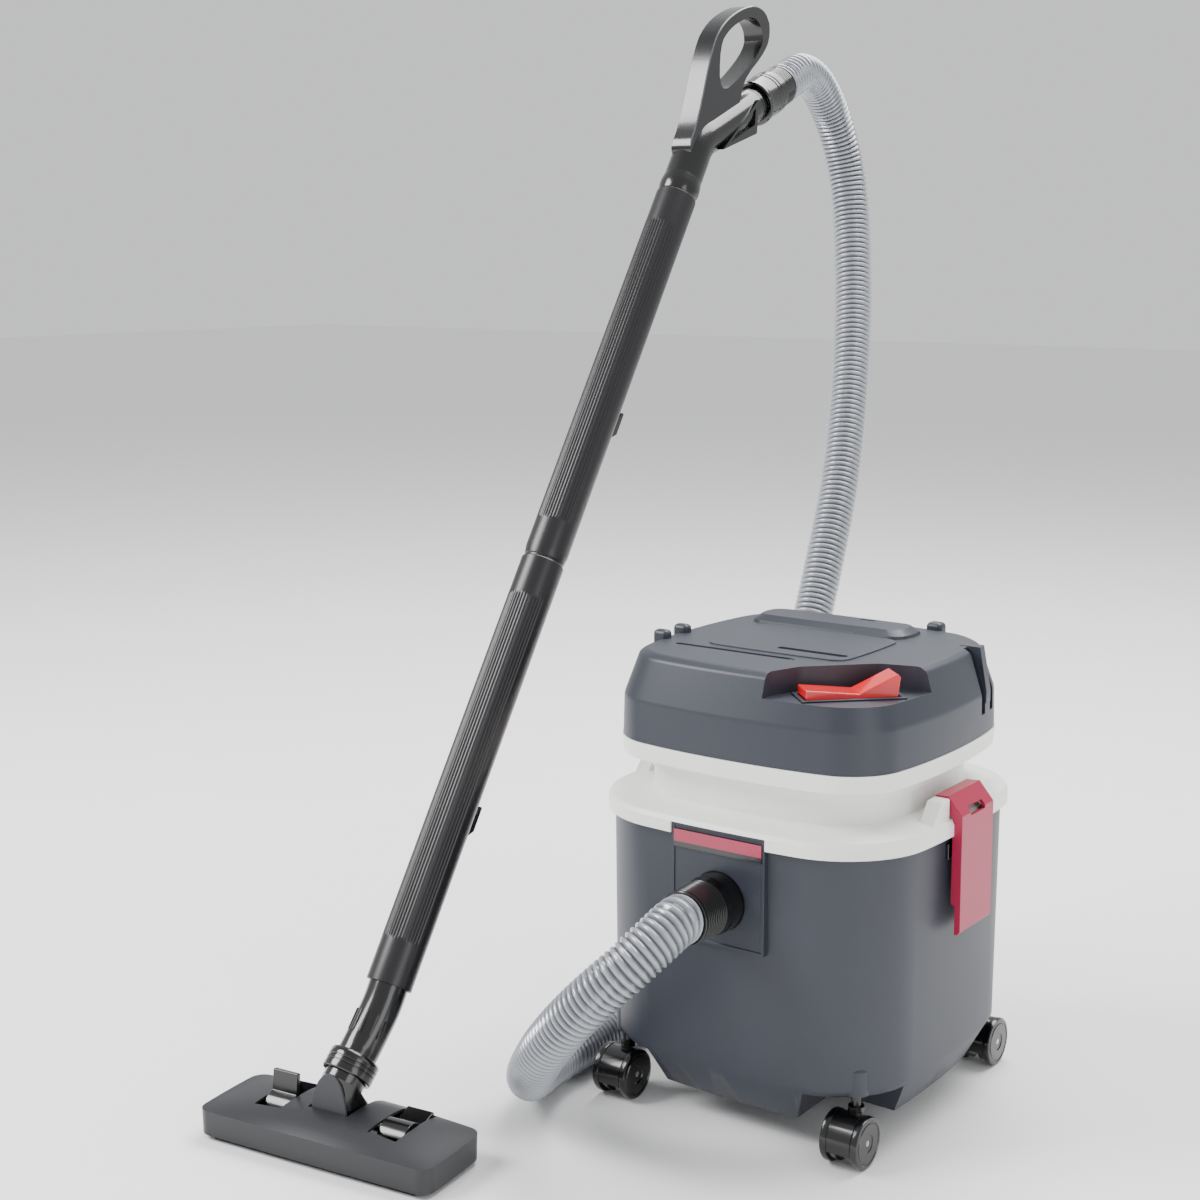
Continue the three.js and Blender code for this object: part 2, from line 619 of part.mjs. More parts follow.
function addCaster(parent, sx, sy, name) {
  const unit = new THREE.Group();
  unit.position.set(sx * CASTER.x, sy * CASTER.y, 0);
  unit.rotation.z = sy > 0 ? 0 : Math.PI;
  parent.add(unit);
  add(unit, `caster_${name}_housing`, casterHousing(), 'black');
  const axle = alongX(rod(CASTER.axle, -WHEEL.outer + 1, WHEEL.outer - 1, 12));
  add(unit, `caster_${name}_axle`, axle.translate(0, CASTER.trail, CASTER.radius), 'steel');
  const outerSide = sy > 0 ? 1 : -1;
  for (const [side, label] of [[outerSide, 'right'], [-outerSide, 'left']]) {
    const wheel = alongX(casterWheel());
    if (side < 0) wheel.rotateZ(Math.PI);
    add(unit, `caster_${name}_wheel_${label}`, wheel.translate(0, CASTER.trail, CASTER.radius), 'black');
  }
}

// ---------------------------------------------------------- wands and handle
function wandTube(plugged) {
  const { radius, bore, length, plug } = WAND;
  const sleeve = [[bore, length], [bore, plugged ? 12 : 0]];
  const nose = plugged
    ? [
      [bore - 2.3, 4], [bore - 2.3, -plug], [bore - GAP, -plug], [bore - GAP, 2],
      [bore + 0.6, 3], [radius, 11],
    ]
    : [[radius, 0]];
  return turnedRing([...sleeve, ...nose, [radius, length]], 28);
}

// A parking hook moulded as a saddle that is pushed on to the wand's underside.
function wandClip() {
  const { length, width, proud } = CLIP;
  const r = WAND.radius;
  const half = length / 2;
  const hook = [
    [r - 4, -half], [r + proud, -half + 14], [r + proud, half], [r + proud - 3, half],
    [r + 3, half - 8], [r - 4, half - 4],
  ];
  const saddle = sideCut(hook, width);
  return cut(saddle, rod(r + GAP, -60, 60, 40));
}

function handleAxis() {
  const lean = radians(WAND.lean);
  const rise = radians(HANDLE.rise);
  return { up: [0, Math.sin(lean), Math.cos(lean)], out: [0, Math.cos(rise), Math.sin(rise)] };
}

const from = (start, direction, distance) => start.map((value, i) => value + direction[i] * distance);

// Where the wand ends and where the handle bends, with the bend's two directions.
function handleFrame() {
  const { up, out } = handleAxis();
  const top = from([WAND.x, WAND.y, WAND.z], up, WAND.length * 2 + PLAY);
  return { up, out, top, bend: from(top, up, HANDLE.bendAt) };
}

function handleRoute() {
  const { up, out, top, bend } = handleFrame();
  const soft = 26;
  return [
    from(top, up, 14), from(top, up, 34), from(bend, up, -soft), from(bend, up, -soft / 3),
    from(bend, out, soft / 3), from(bend, out, soft), from(bend, out, 80),
    from(bend, out, HANDLE.length + HANDLE.spigot),
  ];
}

function handleTube() {
  const { up, out, top, bend } = handleFrame();
  const route = handleRoute();
  const [first, last] = [from(top, up, -WAND.plug - 5), from(bend, out, HANDLE.length + HANDLE.spigot + 9)];
  const inside = [first, ...route.slice(1, -1), last];
  const socket = turned([
    [0, -WAND.plug], [WAND.bore - GAP, -WAND.plug], [WAND.bore - GAP, 1], [WAND.bore + 0.6, 2],
    [WAND.radius, 9], [WAND.radius, 16], [HANDLE.radius, 26], [0, 26],
  ], 28);
  socket.rotateX(-radians(WAND.lean)).translate(...top);
  return cut(join(pipe(route, HANDLE.radius, 15, 16), socket), pipe(inside, HANDLE.bore, 12, 12));
}

// The loop that the hand holds, standing on the bend of the handle tube.
function handleGrip() {
  const loop = [
    [-26, -20], [3, 0], [48, 25], [75, 47], [79, 74], [133, 114], [141, 137], [133, 158],
    [104, 164], [71, 155], [38, 138], [14, 112], [-17, 22], [-35, -5],
  ];
  const hole = [[29, 55], [29, 111], [50, 131], [78, 144], [104, 150], [122, 138], [124, 116], [73, 77]];
  const slot = pipe(handleRoute(), HANDLE.radius + GAP * 2, 15, 16);
  return cut(sideCut(loop, HANDLE.grip, [hole]).translate(...handleFrame().bend), slot);
}

function handleCuff() {
  const { start, end, radius, bore } = HOSE_CUFF;
  const seat = HANDLE.length + HANDLE.spigot + PLAY;
  const sleeve = turnedRing([
    [HANDLE.radius + PLAY, seat], [HANDLE.radius + PLAY, start], [radius - 2, start], [radius, start + 3],
    [radius, start + 40], [radius - 2, start + 44], [radius - 2, end], [bore, end], [bore, seat],
  ], 28);
  return sleeve.rotateX(-radians(90 - HANDLE.rise)).translate(...handleFrame().bend);
}

// The hose, straight for a little way out of each cuff.
function hose() {
  const { out, bend } = handleFrame();
  const mouth = from(bend, out, HOSE_CUFF.end + GAP);
  const start = [INLET.x, -inletFace() - CUFF.length - GAP, INLET.z];
  const route = (extra) => [from(start, [0, 1, 0], extra), from(start, [0, -1, 0], HOSE_STRAIGHT),
    ...HOSE_ROUTE, from(mouth, out, HOSE_STRAIGHT), from(mouth, out, -extra)];
  return cut(pipe(route(0), HOSE_RADIUS, HOSE_STEPS, 8), pipe(route(1), HOSE_BORE, HOSE_STEPS, 8));
}

// ------------------------------------------------------------ the floor head
function elbowRoute(extra) {
  const lean = radians(ELBOW.lean);
  const axis = [0, Math.sin(lean), Math.cos(lean)];
  const { up } = handleAxis();
  const foot = [ELBOW.x, ELBOW.y, ELBOW.z];
  const end = [WAND.x, WAND.y, WAND.z];
  return [from(foot, axis, -1.5 - extra), from(foot, axis, 8), from(foot, axis, 20), from(end, up, -22),
    from(end, up, 4), from(end, up, 30 + extra)];
}

function elbowTube() {
  return cut(pipe(elbowRoute(0), ELBOW.radius, 9, 16), pipe(elbowRoute(5), ELBOW.bore, 7, 12));
}

function elbowCollar() {
  const { collar, radius } = ELBOW;
  const inner = radius + 1.7;
  const sleeve = turnedRing([
    [inner, -12], [collar - 1, -12], [collar, -11], [collar, 7], [collar - 2, 9],
    [radius + PLAY, 9], [radius + PLAY, 1], [inner, 1],
  ], 28);
  return sleeve.rotateX(-radians(ELBOW.lean)).translate(ELBOW.x, ELBOW.y, ELBOW.z);
}

// A ring of points shaped between a rounded rectangle and a circle, leaning back about X.
function neckRing(halfX, halfY, corner, y, z, lean) {
  const shape = outline({ halfX, halfY, corner, bow: 0 }, 0, 0);
  const tilt = radians(lean);
  return shape.map((p) => new THREE.Vector3(p.x, y + p.y * Math.cos(tilt), z - p.y * Math.sin(tilt)));
}

// A point given about the elbow's foot, in the floor head's frame with the hinge axis as its origin.
function toHinge({ x, y, z }) {
  const spot = new THREE.Vector3(ELBOW.x - FLOOR_HEAD.x + x, ELBOW.y - FLOOR_HEAD.y + y, ELBOW.z + z);
  spot.applyAxisAngle(new THREE.Vector3(0, 0, 1), -radians(FLOOR_HEAD.yaw));
  return spot.sub(new THREE.Vector3(TILT.x, TILT.y, TILT.z));
}

function neck() {
  const lean = radians(ELBOW.lean);
  const [ahead, up] = [Math.sin(lean), Math.cos(lean)];
  const along = (distance) => toHinge({ x: 0, y: ahead * distance, z: up * distance });
  const round = ELBOW.radius + 1.2;
  const collarRing = (distance) => {
    const ring = neckRing(round, round, round, ahead * distance, up * distance, ELBOW.lean);
    return ring.map(toHinge);
  };
  const body = loft([
    neckRing(TILT.half, 7, 5, 0, -9, 0),
    neckRing(TILT.half, TILT.drum, 5, 0, -2, 0),
    neckRing(TILT.half, 19, 8, 0, 17, 0),
    collarRing(-20),
    collarRing(-2),
  ]);
  const bore = pipe([along(6).toArray(), along(-16).toArray(), [0, 2, 12], [0, 0, -20]], 13, 6, 12);
  return cut(body, bore);
}

function headOutline(inset, z) {
  const { halfX, halfY, corner, bow } = FLOOR_HEAD;
  return outline({ halfX, halfY, corner, bow }, inset, z);
}

function headSolid(inset, drop, bottom) {
  const { band } = FLOOR_HEAD;
  return loft([
    headOutline(inset + 1, bottom),
    headOutline(inset, band - drop),
    headOutline(inset + 4, band + 4 - drop),
    headOutline(inset + 17, SHELL.crown - 3 - drop),
    headOutline(inset + 34, SHELL.crown - drop),
  ]);
}

// A cutter round (x, y) that reaches the same way to both sides of it.
function cutter(x, y, reachX, reachY, z0, z1) {
  return block(x - reachX, x + reachX, y - reachY, y + reachY, z0, z1);
}

function headShell() {
  const inner = headSolid(SHELL.wall, SHELL.wall, SHELL.bottom - 3);
  const [x0, x1] = [TILT.x - TILT.half - 2, TILT.x + TILT.half + 2];
  const neckSlot = block(x0, x1, TILT.y - TILT.slot, 80, SOLE.top + PLAY, 60);
  const [middle, reach] = [(WELL.front + WELL.back) / 2, (WELL.back - WELL.front) / 2];
  const pedals = [-1, 1].map((side) => {
    return cutter(side * PEDAL.spread, middle, PEDAL.half + 1, reach, WELL.low, 60);
  });
  return cut(headSolid(0, 0, SHELL.bottom), inner, neckSlot, ...pedals);
}

function headSole() {
  const plate = loft([headOutline(SHELL.wall + 1, SOLE.bottom), headOutline(SHELL.wall + 1, SOLE.top)]);
  const mouth = block(-MOUTH.half, MOUTH.half, MOUTH.front, MOUTH.back, 0, 20);
  const slots = [-1, 1].map((side) => {
    return cutter(0, side * BRUSH.y, BRUSH.half + PLAY, BRUSH.thick / 2 + PLAY, 0, 20);
  });
  const wells = [-1, 1].map((side) => {
    return cutter(side * ROLLER.x, ROLLER.y, ROLLER.half + 1, ROLLER.radius + 1, 0, 20);
  });
  return cut(plate, mouth, ...slots, ...wells);
}

function brushStrip(side) {
  const y = side * BRUSH.y;
  return block(-BRUSH.half, BRUSH.half, y - BRUSH.thick / 2, y + BRUSH.thick / 2, 0, BRUSH.top);
}

// A pedal pressed flush: a drum with a tread plate behind it. The plate stands up as it turns.
function pedal() {
  const { drum, half, reach, thick, plate } = PEDAL;
  const turn = radians(plate);
  const [first, last] = [turn + Math.asin(thick / drum), radians(150)];
  const arc = Array.from({ length: 9 }, (_, i) => {
    const angle = first + ((last - first) * i) / 8;
    return [drum * Math.cos(angle), drum * Math.sin(angle)];
  });
  const out = (distance, lift) => [
    distance * Math.cos(turn) - lift * Math.sin(turn), distance * Math.sin(turn) + lift * Math.cos(turn),
  ];
  const profile = [out(6, 0), out(reach, 0), out(reach, thick), ...arc, [-6, 2], [-2, -3]];
  return sideCut(profile, 2 * half);
}

function roller() {
  const { radius, half } = ROLLER;
  const [rim, edge] = [radius - 1, half - 1];
  const profile = [[0, -half], [rim, -half], [radius, -edge], [radius, edge], [rim, half], [0, half]];
  return alongX(turned(profile, 20));
}

// ---------------------------------------------------------------- assembly
function buildCanister(parent) {
  add(parent, 'tank', tank(), 'slate');
  add(parent, 'inlet_plate', inletPlate(), 'slate');
  add(parent, 'inlet_label', inletLabel(), 'crimson');
  add(parent, 'inlet_seal', inletSeal(), 'rubber');
  add(parent, 'hose_cuff_inlet', inletCuff(), 'black');
  add(parent, 'latch_catch_right', latchCatch(1), 'black');
  add(parent, 'latch_catch_left', latchCatch(-1), 'black');
  for (const [sx, sy, name] of CORNERS) addCaster(parent, sx, sy, name);
}

function buildMotorHead(parent) {
  add(parent, 'cover_ring', coverRing(), 'white');
  add(parent, 'motor_seat', motorSeat(), 'white');
  add(parent, 'rim_seal', rimSeal(), 'rubber');
  add(parent, 'motor_cover', motorCover(), 'slate');
  add(parent, 'switch_bezel', switchBezel(), 'slate');
  add(parent, 'switch_body', switchBody(), 'black');
  add(parent, 'cord_gland', cordGland(), 'rubber');
  add(parent, 'motor_body', motorBody(), 'alloy');
  add(parent, 'impeller', impeller(), 'alloy');
  add(parent, 'filter_cage', filterCage(), 'white');
  add(parent, 'cloth_filter', clothFilter(), 'felt');
  add(parent, 'float_cup', floatCup(), 'red');
  const rocker = add(parent, 'switch_rocker', switchRocker(), 'red');
  rocker.position.set(SWITCH.x, SWITCH.y, SWITCH.floor);
  rocker.rotation.z = SWITCH.turn;
  for (const [side, name] of [[1, 'right'], [-1, 'left']]) {
    const hinge = new THREE.Group();
    hinge.position.set(side * LATCH.pivotX, LATCH.y, LATCH.pivotZ);
    hinge.rotation.z = side > 0 ? 0 : Math.PI;
    parent.add(hinge);
    add(hinge, `latch_${name}`, latch(), 'crimson');
    add(hinge, `latch_pin_${name}`, alongY(rod(LATCH.pin, -46, 46, 16)), 'steel');
  }
}

function buildWand(parent) {
  const axis = new THREE.Group();
  axis.position.set(WAND.x, WAND.y, WAND.z);
  axis.rotation.x = -radians(WAND.lean);
  parent.add(axis);
  add(axis, 'wand_lower', wandTube(false), 'charcoal');
  add(axis, 'wand_upper', wandTube(true).translate(0, 0, WAND.length + PLAY), 'charcoal');
  add(axis, 'wand_hook_lower', wandClip().translate(0, 0, CLIP.at), 'black');
  add(axis, 'wand_hook_upper', wandClip().translate(0, 0, WAND.length + CLIP.at), 'black');
  add(parent, 'handle_tube', handleTube(), 'black');
  add(parent, 'handle_grip', handleGrip(), 'black');
  add(parent, 'hose_cuff_handle', handleCuff(), 'black');
  add(parent, 'elbow_tube', elbowTube(), 'black');
  add(parent, 'elbow_collar', elbowCollar(), 'black');
}

function buildFloorHead(parent) {
  const head = new THREE.Group();
  head.position.set(FLOOR_HEAD.x, FLOOR_HEAD.y, 0);
  head.rotation.z = radians(FLOOR_HEAD.yaw);
  parent.add(head);
  add(head, 'floor_head_neck', neck().translate(TILT.x, TILT.y, TILT.z), 'black');
  add(head, 'floor_head_shell', headShell(), 'charcoal');
  add(head, 'floor_head_sole', headSole(), 'black');
  add(head, 'brush_strip_front', brushStrip(-1), 'rubber');
  add(head, 'brush_strip_rear', brushStrip(1), 'rubber');
  for (const [side, name, angle] of [[-1, 'left', PEDAL.raised], [1, 'right', 0]]) {
    const tread = add(head, `pedal_${name}`, pedal(), 'black');
    tread.position.set(side * PEDAL.spread, PEDAL.y, PEDAL.z);
    tread.rotation.x = radians(angle);
    const wheel = add(head, `head_roller_${name}`, roller(), 'rubber');
    wheel.position.set(side * ROLLER.x, ROLLER.y, ROLLER.radius);
  }
}

const CORD_NODES = ['hose', 'hose_cuff_inlet', 'hose_cuff_handle'];

// The pieces in the canister's own frame, centred on its casters, moved as one so that
// the origin lies under the middle of everything but the hose.
function buildCleaner() {
  const cleaner = new THREE.Group();
  const placed = new THREE.Group();
  cleaner.add(placed);
  buildCanister(placed);
  buildMotorHead(placed);
  buildWand(placed);
  buildFloorHead(placed);
  add(placed, 'hose', hose(), 'silver');
  cleaner.updateMatrixWorld(true);
  const bounds = new THREE.Box3();
  placed.traverse((piece) => {
    if (piece.isMesh && !CORD_NODES.includes(piece.name)) bounds.expandByObject(piece, true);
  });
  const middle = bounds.getCenter(new THREE.Vector3());
  placed.position.set(-middle.x, -middle.y, -bounds.min.z);
  return cleaner;
}

export default buildCleaner();
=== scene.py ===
"""Canister vacuum cleaner with a ribbed hose, two wands and a floor head, built round its CAD frame."""
import math

import bmesh
import bpy
from mathutils import Matrix, Vector


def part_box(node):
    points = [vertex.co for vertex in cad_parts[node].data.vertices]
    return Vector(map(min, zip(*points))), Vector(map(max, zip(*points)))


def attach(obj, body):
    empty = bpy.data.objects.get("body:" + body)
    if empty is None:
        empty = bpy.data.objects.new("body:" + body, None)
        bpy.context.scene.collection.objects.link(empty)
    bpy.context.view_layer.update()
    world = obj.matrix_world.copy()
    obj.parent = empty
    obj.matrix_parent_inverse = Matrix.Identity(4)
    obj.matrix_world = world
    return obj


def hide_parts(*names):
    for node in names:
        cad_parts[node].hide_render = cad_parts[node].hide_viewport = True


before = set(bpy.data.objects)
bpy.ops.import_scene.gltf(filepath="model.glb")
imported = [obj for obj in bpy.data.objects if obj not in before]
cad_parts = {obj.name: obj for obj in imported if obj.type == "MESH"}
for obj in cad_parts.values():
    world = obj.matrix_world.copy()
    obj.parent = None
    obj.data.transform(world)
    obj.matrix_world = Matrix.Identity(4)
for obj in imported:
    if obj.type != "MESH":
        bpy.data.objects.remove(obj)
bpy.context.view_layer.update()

bl_info = {
    "name": "Canister Vacuum Cleaner",
    "version": (1, 0, 0),
    "blender": (4, 5, 0),
    "location": "View3D > Sidebar > Cleaner",
    "description": "Models the cleaner's visible pieces round its CAD frame",
    "category": "Add Mesh",
}

# Pieces are drawn in millimetres about the canister's own middle, then moved into the row frame.
MM = 0.001
TANK_LOW, TANK_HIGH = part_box("tank")
HOME = Vector(((TANK_LOW[0] + TANK_HIGH[0]) / 2, (TANK_LOW[1] + TANK_HIGH[1]) / 2, 0))
TO_ROW = Matrix.Translation(HOME) @ Matrix.Scale(MM, 4)


def linear(code):
    """An sRGB hex value as a linear colour."""
    channels = [int(code[i : i + 2], 16) / 255 for i in (1, 3, 5)]
    return tuple(c / 12.92 if c <= 0.04045 else ((c + 0.055) / 1.055) ** 2.4 for c in channels)


def colour(name, text, code):
    return bpy.props.FloatVectorProperty(
        name=name, description=text, subtype="COLOR", size=3, min=0, max=1, default=linear(code),
    )


def length(name, text, value):
    return bpy.props.FloatProperty(name=name, description=text, unit="LENGTH", min=0, default=value * MM)


class CleanerColours(bpy.types.PropertyGroup):
    """Colours of the cleaner's mouldings."""

    body: colour("Body", "Tank and motor cover", "#2a2e38")
    ring: colour("Ring", "Cover ring under the motor cover", "#eeeeea")
    accent: colour("Accent", "Latches", "#a00c3c")
    switch: colour("Switch", "Mains rocker", "#d4121a")
    hose: colour("Hose", "Ribbed hose", "#a2a6ad")
    gloss: colour("Gloss parts", "Cuffs, handle and wheels", "#070708")
    wand: colour("Wand", "Wand tubes", "#141316")
    head: colour("Floor head", "Floor head shell", "#1f2024")


class CleanerSizes(bpy.types.PropertyGroup):
    """Sizes that shape the finish of the pieces."""

    edge: length("Edge radius", "Rounding on the large mouldings' edges", 1.6)
    grain: length("Grain size", "Spacing of the moulded grain", 0.9)
    rib_pitch: length("Rib pitch", "Spacing of the hose's ribs", 6.5)
    rib_depth: length("Rib depth", "How deep the hose's valleys are", 2.6)


def sizes():
    return bpy.context.scene.cleaner_sizes


def colours():
    return bpy.context.scene.cleaner_colours


# ------------------------------------------------------------------ modelling helpers
# Share of a full rounding that leaves its two ends just apart.
NEARLY = 0.97
# Distances in metres and in millimetres under which two points are one.
WELD_METRES = 1e-6
WELD = 0.001


def deselect():
    if bpy.context.object and bpy.context.object.mode != "OBJECT":
        bpy.ops.object.mode_set(mode="OBJECT")
    bpy.ops.object.select_all(action="DESELECT")


def activate(obj):
    deselect()
    obj.select_set(True)
    bpy.context.view_layer.objects.active = obj


def edit(obj):
    activate(obj)
    bpy.ops.object.mode_set(mode="EDIT")


def choose(obj, test, kind="VERT"):
    """In edit mode, selects the vertices, edges or faces that pass the test, and counts them."""
    bpy.ops.mesh.select_mode(type=kind)
    bpy.ops.mesh.select_all(action="DESELECT")
    mesh = bmesh.from_edit_mesh(obj.data)
    found = 0
    for item in {"VERT": mesh.verts, "EDGE": mesh.edges, "FACE": mesh.faces}[kind]:
        if test(item):
            item.select_set(True)
            found += 1
    mesh.select_flush_mode()
    bmesh.update_edit_mesh(obj.data)
    return found


def take_all():
    bpy.ops.mesh.select_all(action="SELECT")


def round_off(width, steps, affect="EDGES", clamp=False):
    """Bevels the selected edges or corners."""
    bpy.ops.mesh.bevel(
        offset=width, offset_type="OFFSET", segments=steps, profile=0.5, affect=affect, clamp_overlap=clamp,
    )


def face_outward():
    take_all()
    bpy.ops.mesh.normals_make_consistent(inside=False)


def modify(obj, kind, **settings):
    """Adds a modifier with its settings and applies it."""
    activate(obj)
    bpy.ops.object.modifier_add(type=kind)
    step = obj.modifiers[-1]
    for key, value in settings.items():
        setattr(step, key, value)
    bpy.ops.object.modifier_apply(modifier=step.name)
    return obj


def shift(x, y, z):
    return Matrix.Translation((x, y, z))


def turn(degrees, axis):
    return Matrix.Rotation(math.radians(degrees), 4, axis)


def pull(x, y, z):
    bpy.ops.mesh.extrude_region_move(TRANSFORM_OT_translate={"value": (x, y, z)})


def move(x, y, z):
    bpy.ops.transform.translate(value=(x, y, z))


def scale(x, y, z=1, about=(0, 0, 0)):
    bpy.ops.transform.resize(value=(x, y, z), center_override=about)


def plan(half_x, half_y, corner, bow, z, filled=True, round_steps=12, side_steps=10):
    """A rounded rectangle whose sides bow outwards, in edit mode with its face or edge selected."""
    deselect()
    bpy.ops.mesh.primitive_circle_add(vertices=8, radius=math.sqrt(2), fill_type="NGON", location=(0, 0, z))
    obj = bpy.context.object
    bpy.ops.object.transform_apply(location=True)
    edit(obj)
    choose(obj, lambda v: min(abs(v.co.x), abs(v.co.y)) < 0.1)
    grown = (1 + 2 * bow / half_x) / math.sqrt(2)
    scale(grown, grown)
    take_all()
    scale(half_x, half_y)
    choose(obj, lambda v: min(abs(v.co.x), abs(v.co.y)) > min(half_x, half_y) / 2)
    round_off(corner, round_steps, "VERTICES")
    if bow:
        run = min(half_x, half_y) - corner
        choose(obj, lambda v: min(abs(v.co.x), abs(v.co.y)) < 0.1)
        round_off(run * NEARLY, side_steps, "VERTICES")
    if not filled:
        bpy.ops.mesh.select_mode(type="FACE")
        take_all()
        bpy.ops.mesh.delete(type="ONLY_FACE")
        bpy.ops.mesh.select_mode(type="EDGE")
    take_all()
    return obj


def rise(start, rings):
    """Extrudes the selection from (z, half x, half y) through the rings that follow."""
    z, x, y = start
    for next_z, next_x, next_y in rings:
        pull(0, 0, next_z - z)
        scale(next_x / x, next_y / y)
        z, x, y = next_z, next_x, next_y


def turned(profile, sides=64, ring=False):
    """A body turned about Z from (radius, z) pairs, capped at both ends, or a ring that closes on itself."""
    deselect()
    (radius, z), rest = profile[0], profile[1:]
    fill = "NOTHING" if ring else "NGON"
    bpy.ops.mesh.primitive_circle_add(vertices=sides, radius=radius, fill_type=fill, location=(0, 0, z))
    obj = bpy.context.object
    bpy.ops.object.transform_apply(location=True)
    edit(obj)
    take_all()
    points = rest + [profile[0]] if ring else rest
    rise((z, radius, radius), [(height, r, r) for r, height in points])
    if ring:
        take_all()
        bpy.ops.mesh.remove_doubles(threshold=WELD)
    return obj


def block(x0, x1, y0, y1, z0, z1, rounding=0, steps=3):
    """A box between two corners with rounded edges."""
    deselect()
    bpy.ops.mesh.primitive_cube_add(size=1, location=((x0 + x1) / 2, (y0 + y1) / 2, (z0 + z1) / 2))
    obj = bpy.context.object
    obj.scale = (x1 - x0, y1 - y0, z1 - z0)
    bpy.ops.object.transform_apply(location=True, scale=True)
    if rounding:
        edit(obj)
        take_all()
        round_off(rounding, steps)
        deselect()
    return obj


def prism(points, z0, z1, corner=0, steps=6):
    """An upright prism over a polygon of (x, y) points, its upright edges rounded."""
    deselect()
    bpy.ops.mesh.primitive_circle_add(vertices=len(points), radius=1, fill_type="NGON")
    obj = bpy.context.object
    for vertex, (x, y) in zip(obj.data.vertices, points):
        vertex.co = (x, y, z0)
    edit(obj)
    take_all()
    if corner:
        round_off(corner, steps, "VERTICES")
        take_all()
    pull(0, 0, z1 - z0)
    face_outward()
    deselect()
    return obj


def outward(obj):
    edit(obj)
    face_outward()
    deselect()
    return obj


def carve(obj, *tools, operation="DIFFERENCE"):
    """Cuts the tools out of the piece, joins them to it or keeps what is shared, and removes them."""
    for tool in tools:
        outward(tool)
        modify(obj, "BOOLEAN", operation=operation, object=tool, solver="EXACT")
        bpy.data.objects.remove(tool)
    return obj


def soften(obj, width, steps=2, angle=32):
    """Rounds the edges that are sharper than the angle."""
    limit = math.radians(angle)
    return modify(
        obj, "BEVEL", width=width, segments=steps, limit_method="ANGLE", angle_limit=limit, use_clamp_overlap=True,
    )


def gather(first, *others):
    """Makes several shapes one piece."""
    activate(first)
    for other in others:
        other.select_set(True)
    bpy.ops.object.join()
    return bpy.context.object


def placed(obj, matrix):
    obj.matrix_world = matrix @ obj.matrix_world
    activate(obj)
    bpy.ops.object.transform_apply(location=True, rotation=True, scale=True)
    return obj


def settle(obj, name, body, look, nodes=(), place=None, smooth=35, in_row=False, firm=True):
    """Finishes a piece: its place, closed seams, faces outwards, shading, finish and CAD body."""
    if not in_row:
        placed(obj, TO_ROW @ (place or Matrix()))
    edit(obj)
    take_all()
    bpy.ops.mesh.remove_doubles(threshold=WELD_METRES)
    face_outward()
    activate(obj)
    bpy.ops.object.shade_smooth_by_angle(angle=math.radians(smooth))
    if firm:
        modify(obj, "WEIGHTED_NORMAL", keep_sharp=True)
    obj.name = name
    obj.data.name = name
    obj.data.materials.clear()
    obj.data.materials.append(look)
    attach(obj, body)
    if nodes:
        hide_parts(*nodes)
    return obj


def from_cad(node, edge, angle=30, steps=2):
    """A merged copy of a CAD node with its sharp edges rounded by edge millimetres, in the row frame."""
    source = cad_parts[node]
    copy = bpy.data.objects.new(node + "_moulded", source.data.copy())
    bpy.context.scene.collection.objects.link(copy)
    edit(copy)
    take_all()
    bpy.ops.mesh.remove_doubles(threshold=WELD_METRES)
    bpy.ops.mesh.dissolve_limited(angle_limit=math.radians(1))
    sharp = math.radians(angle)
    if edge:
        choose(copy, lambda e: len(e.link_faces) == 2 and e.calc_face_angle(0) > sharp, "EDGE")
        round_off(edge * MM, steps, clamp=True)
    deselect()
    return copy


def recast(node, name, body, look, edge, steps=2):
    """A CAD node's own shape with rounded edges, as a finished piece."""
    return settle(from_cad(node, edge, steps=steps), name, body, finish(look), [node], in_row=True)


def sweep(points, radius, sides=10, caps=True):
    """A round tube along a smooth line of points, as a mesh."""
    deselect()
    bpy.ops.curve.primitive_bezier_curve_add()
    obj = bpy.context.object
    curve = obj.data
    curve.splines.clear()
    line = smooth_line([Vector(p) for p in points], 10)
    spline = curve.splines.new("POLY")
    spline.points.add(len(line) - 1)
    for point, place in zip(spline.points, line):
        point.co = (*place, 1)
    curve.bevel_depth = radius
    curve.bevel_resolution = sides
    curve.use_fill_caps = caps
    activate(obj)
    bpy.ops.object.convert(target="MESH")
    return bpy.context.object


def smooth_line(points, steps):
    """A centripetal Catmull-Rom line through the points."""
    ends = [points[0] * 2 - points[1], *points, points[-1] * 2 - points[-2]]
    line = []
    for p0, p1, p2, p3 in zip(ends, ends[1:], ends[2:], ends[3:]):
        t0 = 0.0
        t1 = t0 + max((p1 - p0).length, 1e-6) ** 0.5
        t2 = t1 + max((p2 - p1).length, 1e-6) ** 0.5
        t3 = t2 + max((p3 - p2).length, 1e-6) ** 0.5
        for i in range(steps):
            t = t1 + (t2 - t1) * i / steps
            a1 = p0 * ((t1 - t) / (t1 - t0)) + p1 * ((t - t0) / (t1 - t0))
            a2 = p1 * ((t2 - t) / (t2 - t1)) + p2 * ((t - t1) / (t2 - t1))
            a3 = p2 * ((t3 - t) / (t3 - t2)) + p3 * ((t - t2) / (t3 - t2))
            b1 = a1 * ((t2 - t) / (t2 - t0)) + a2 * ((t - t0) / (t2 - t0))
            b2 = a2 * ((t3 - t) / (t3 - t1)) + a3 * ((t - t1) / (t3 - t1))
            line.append(b1 * ((t2 - t) / (t2 - t1)) + b2 * ((t - t1) / (t2 - t1)))
    line.append(points[-1].copy())
    return line


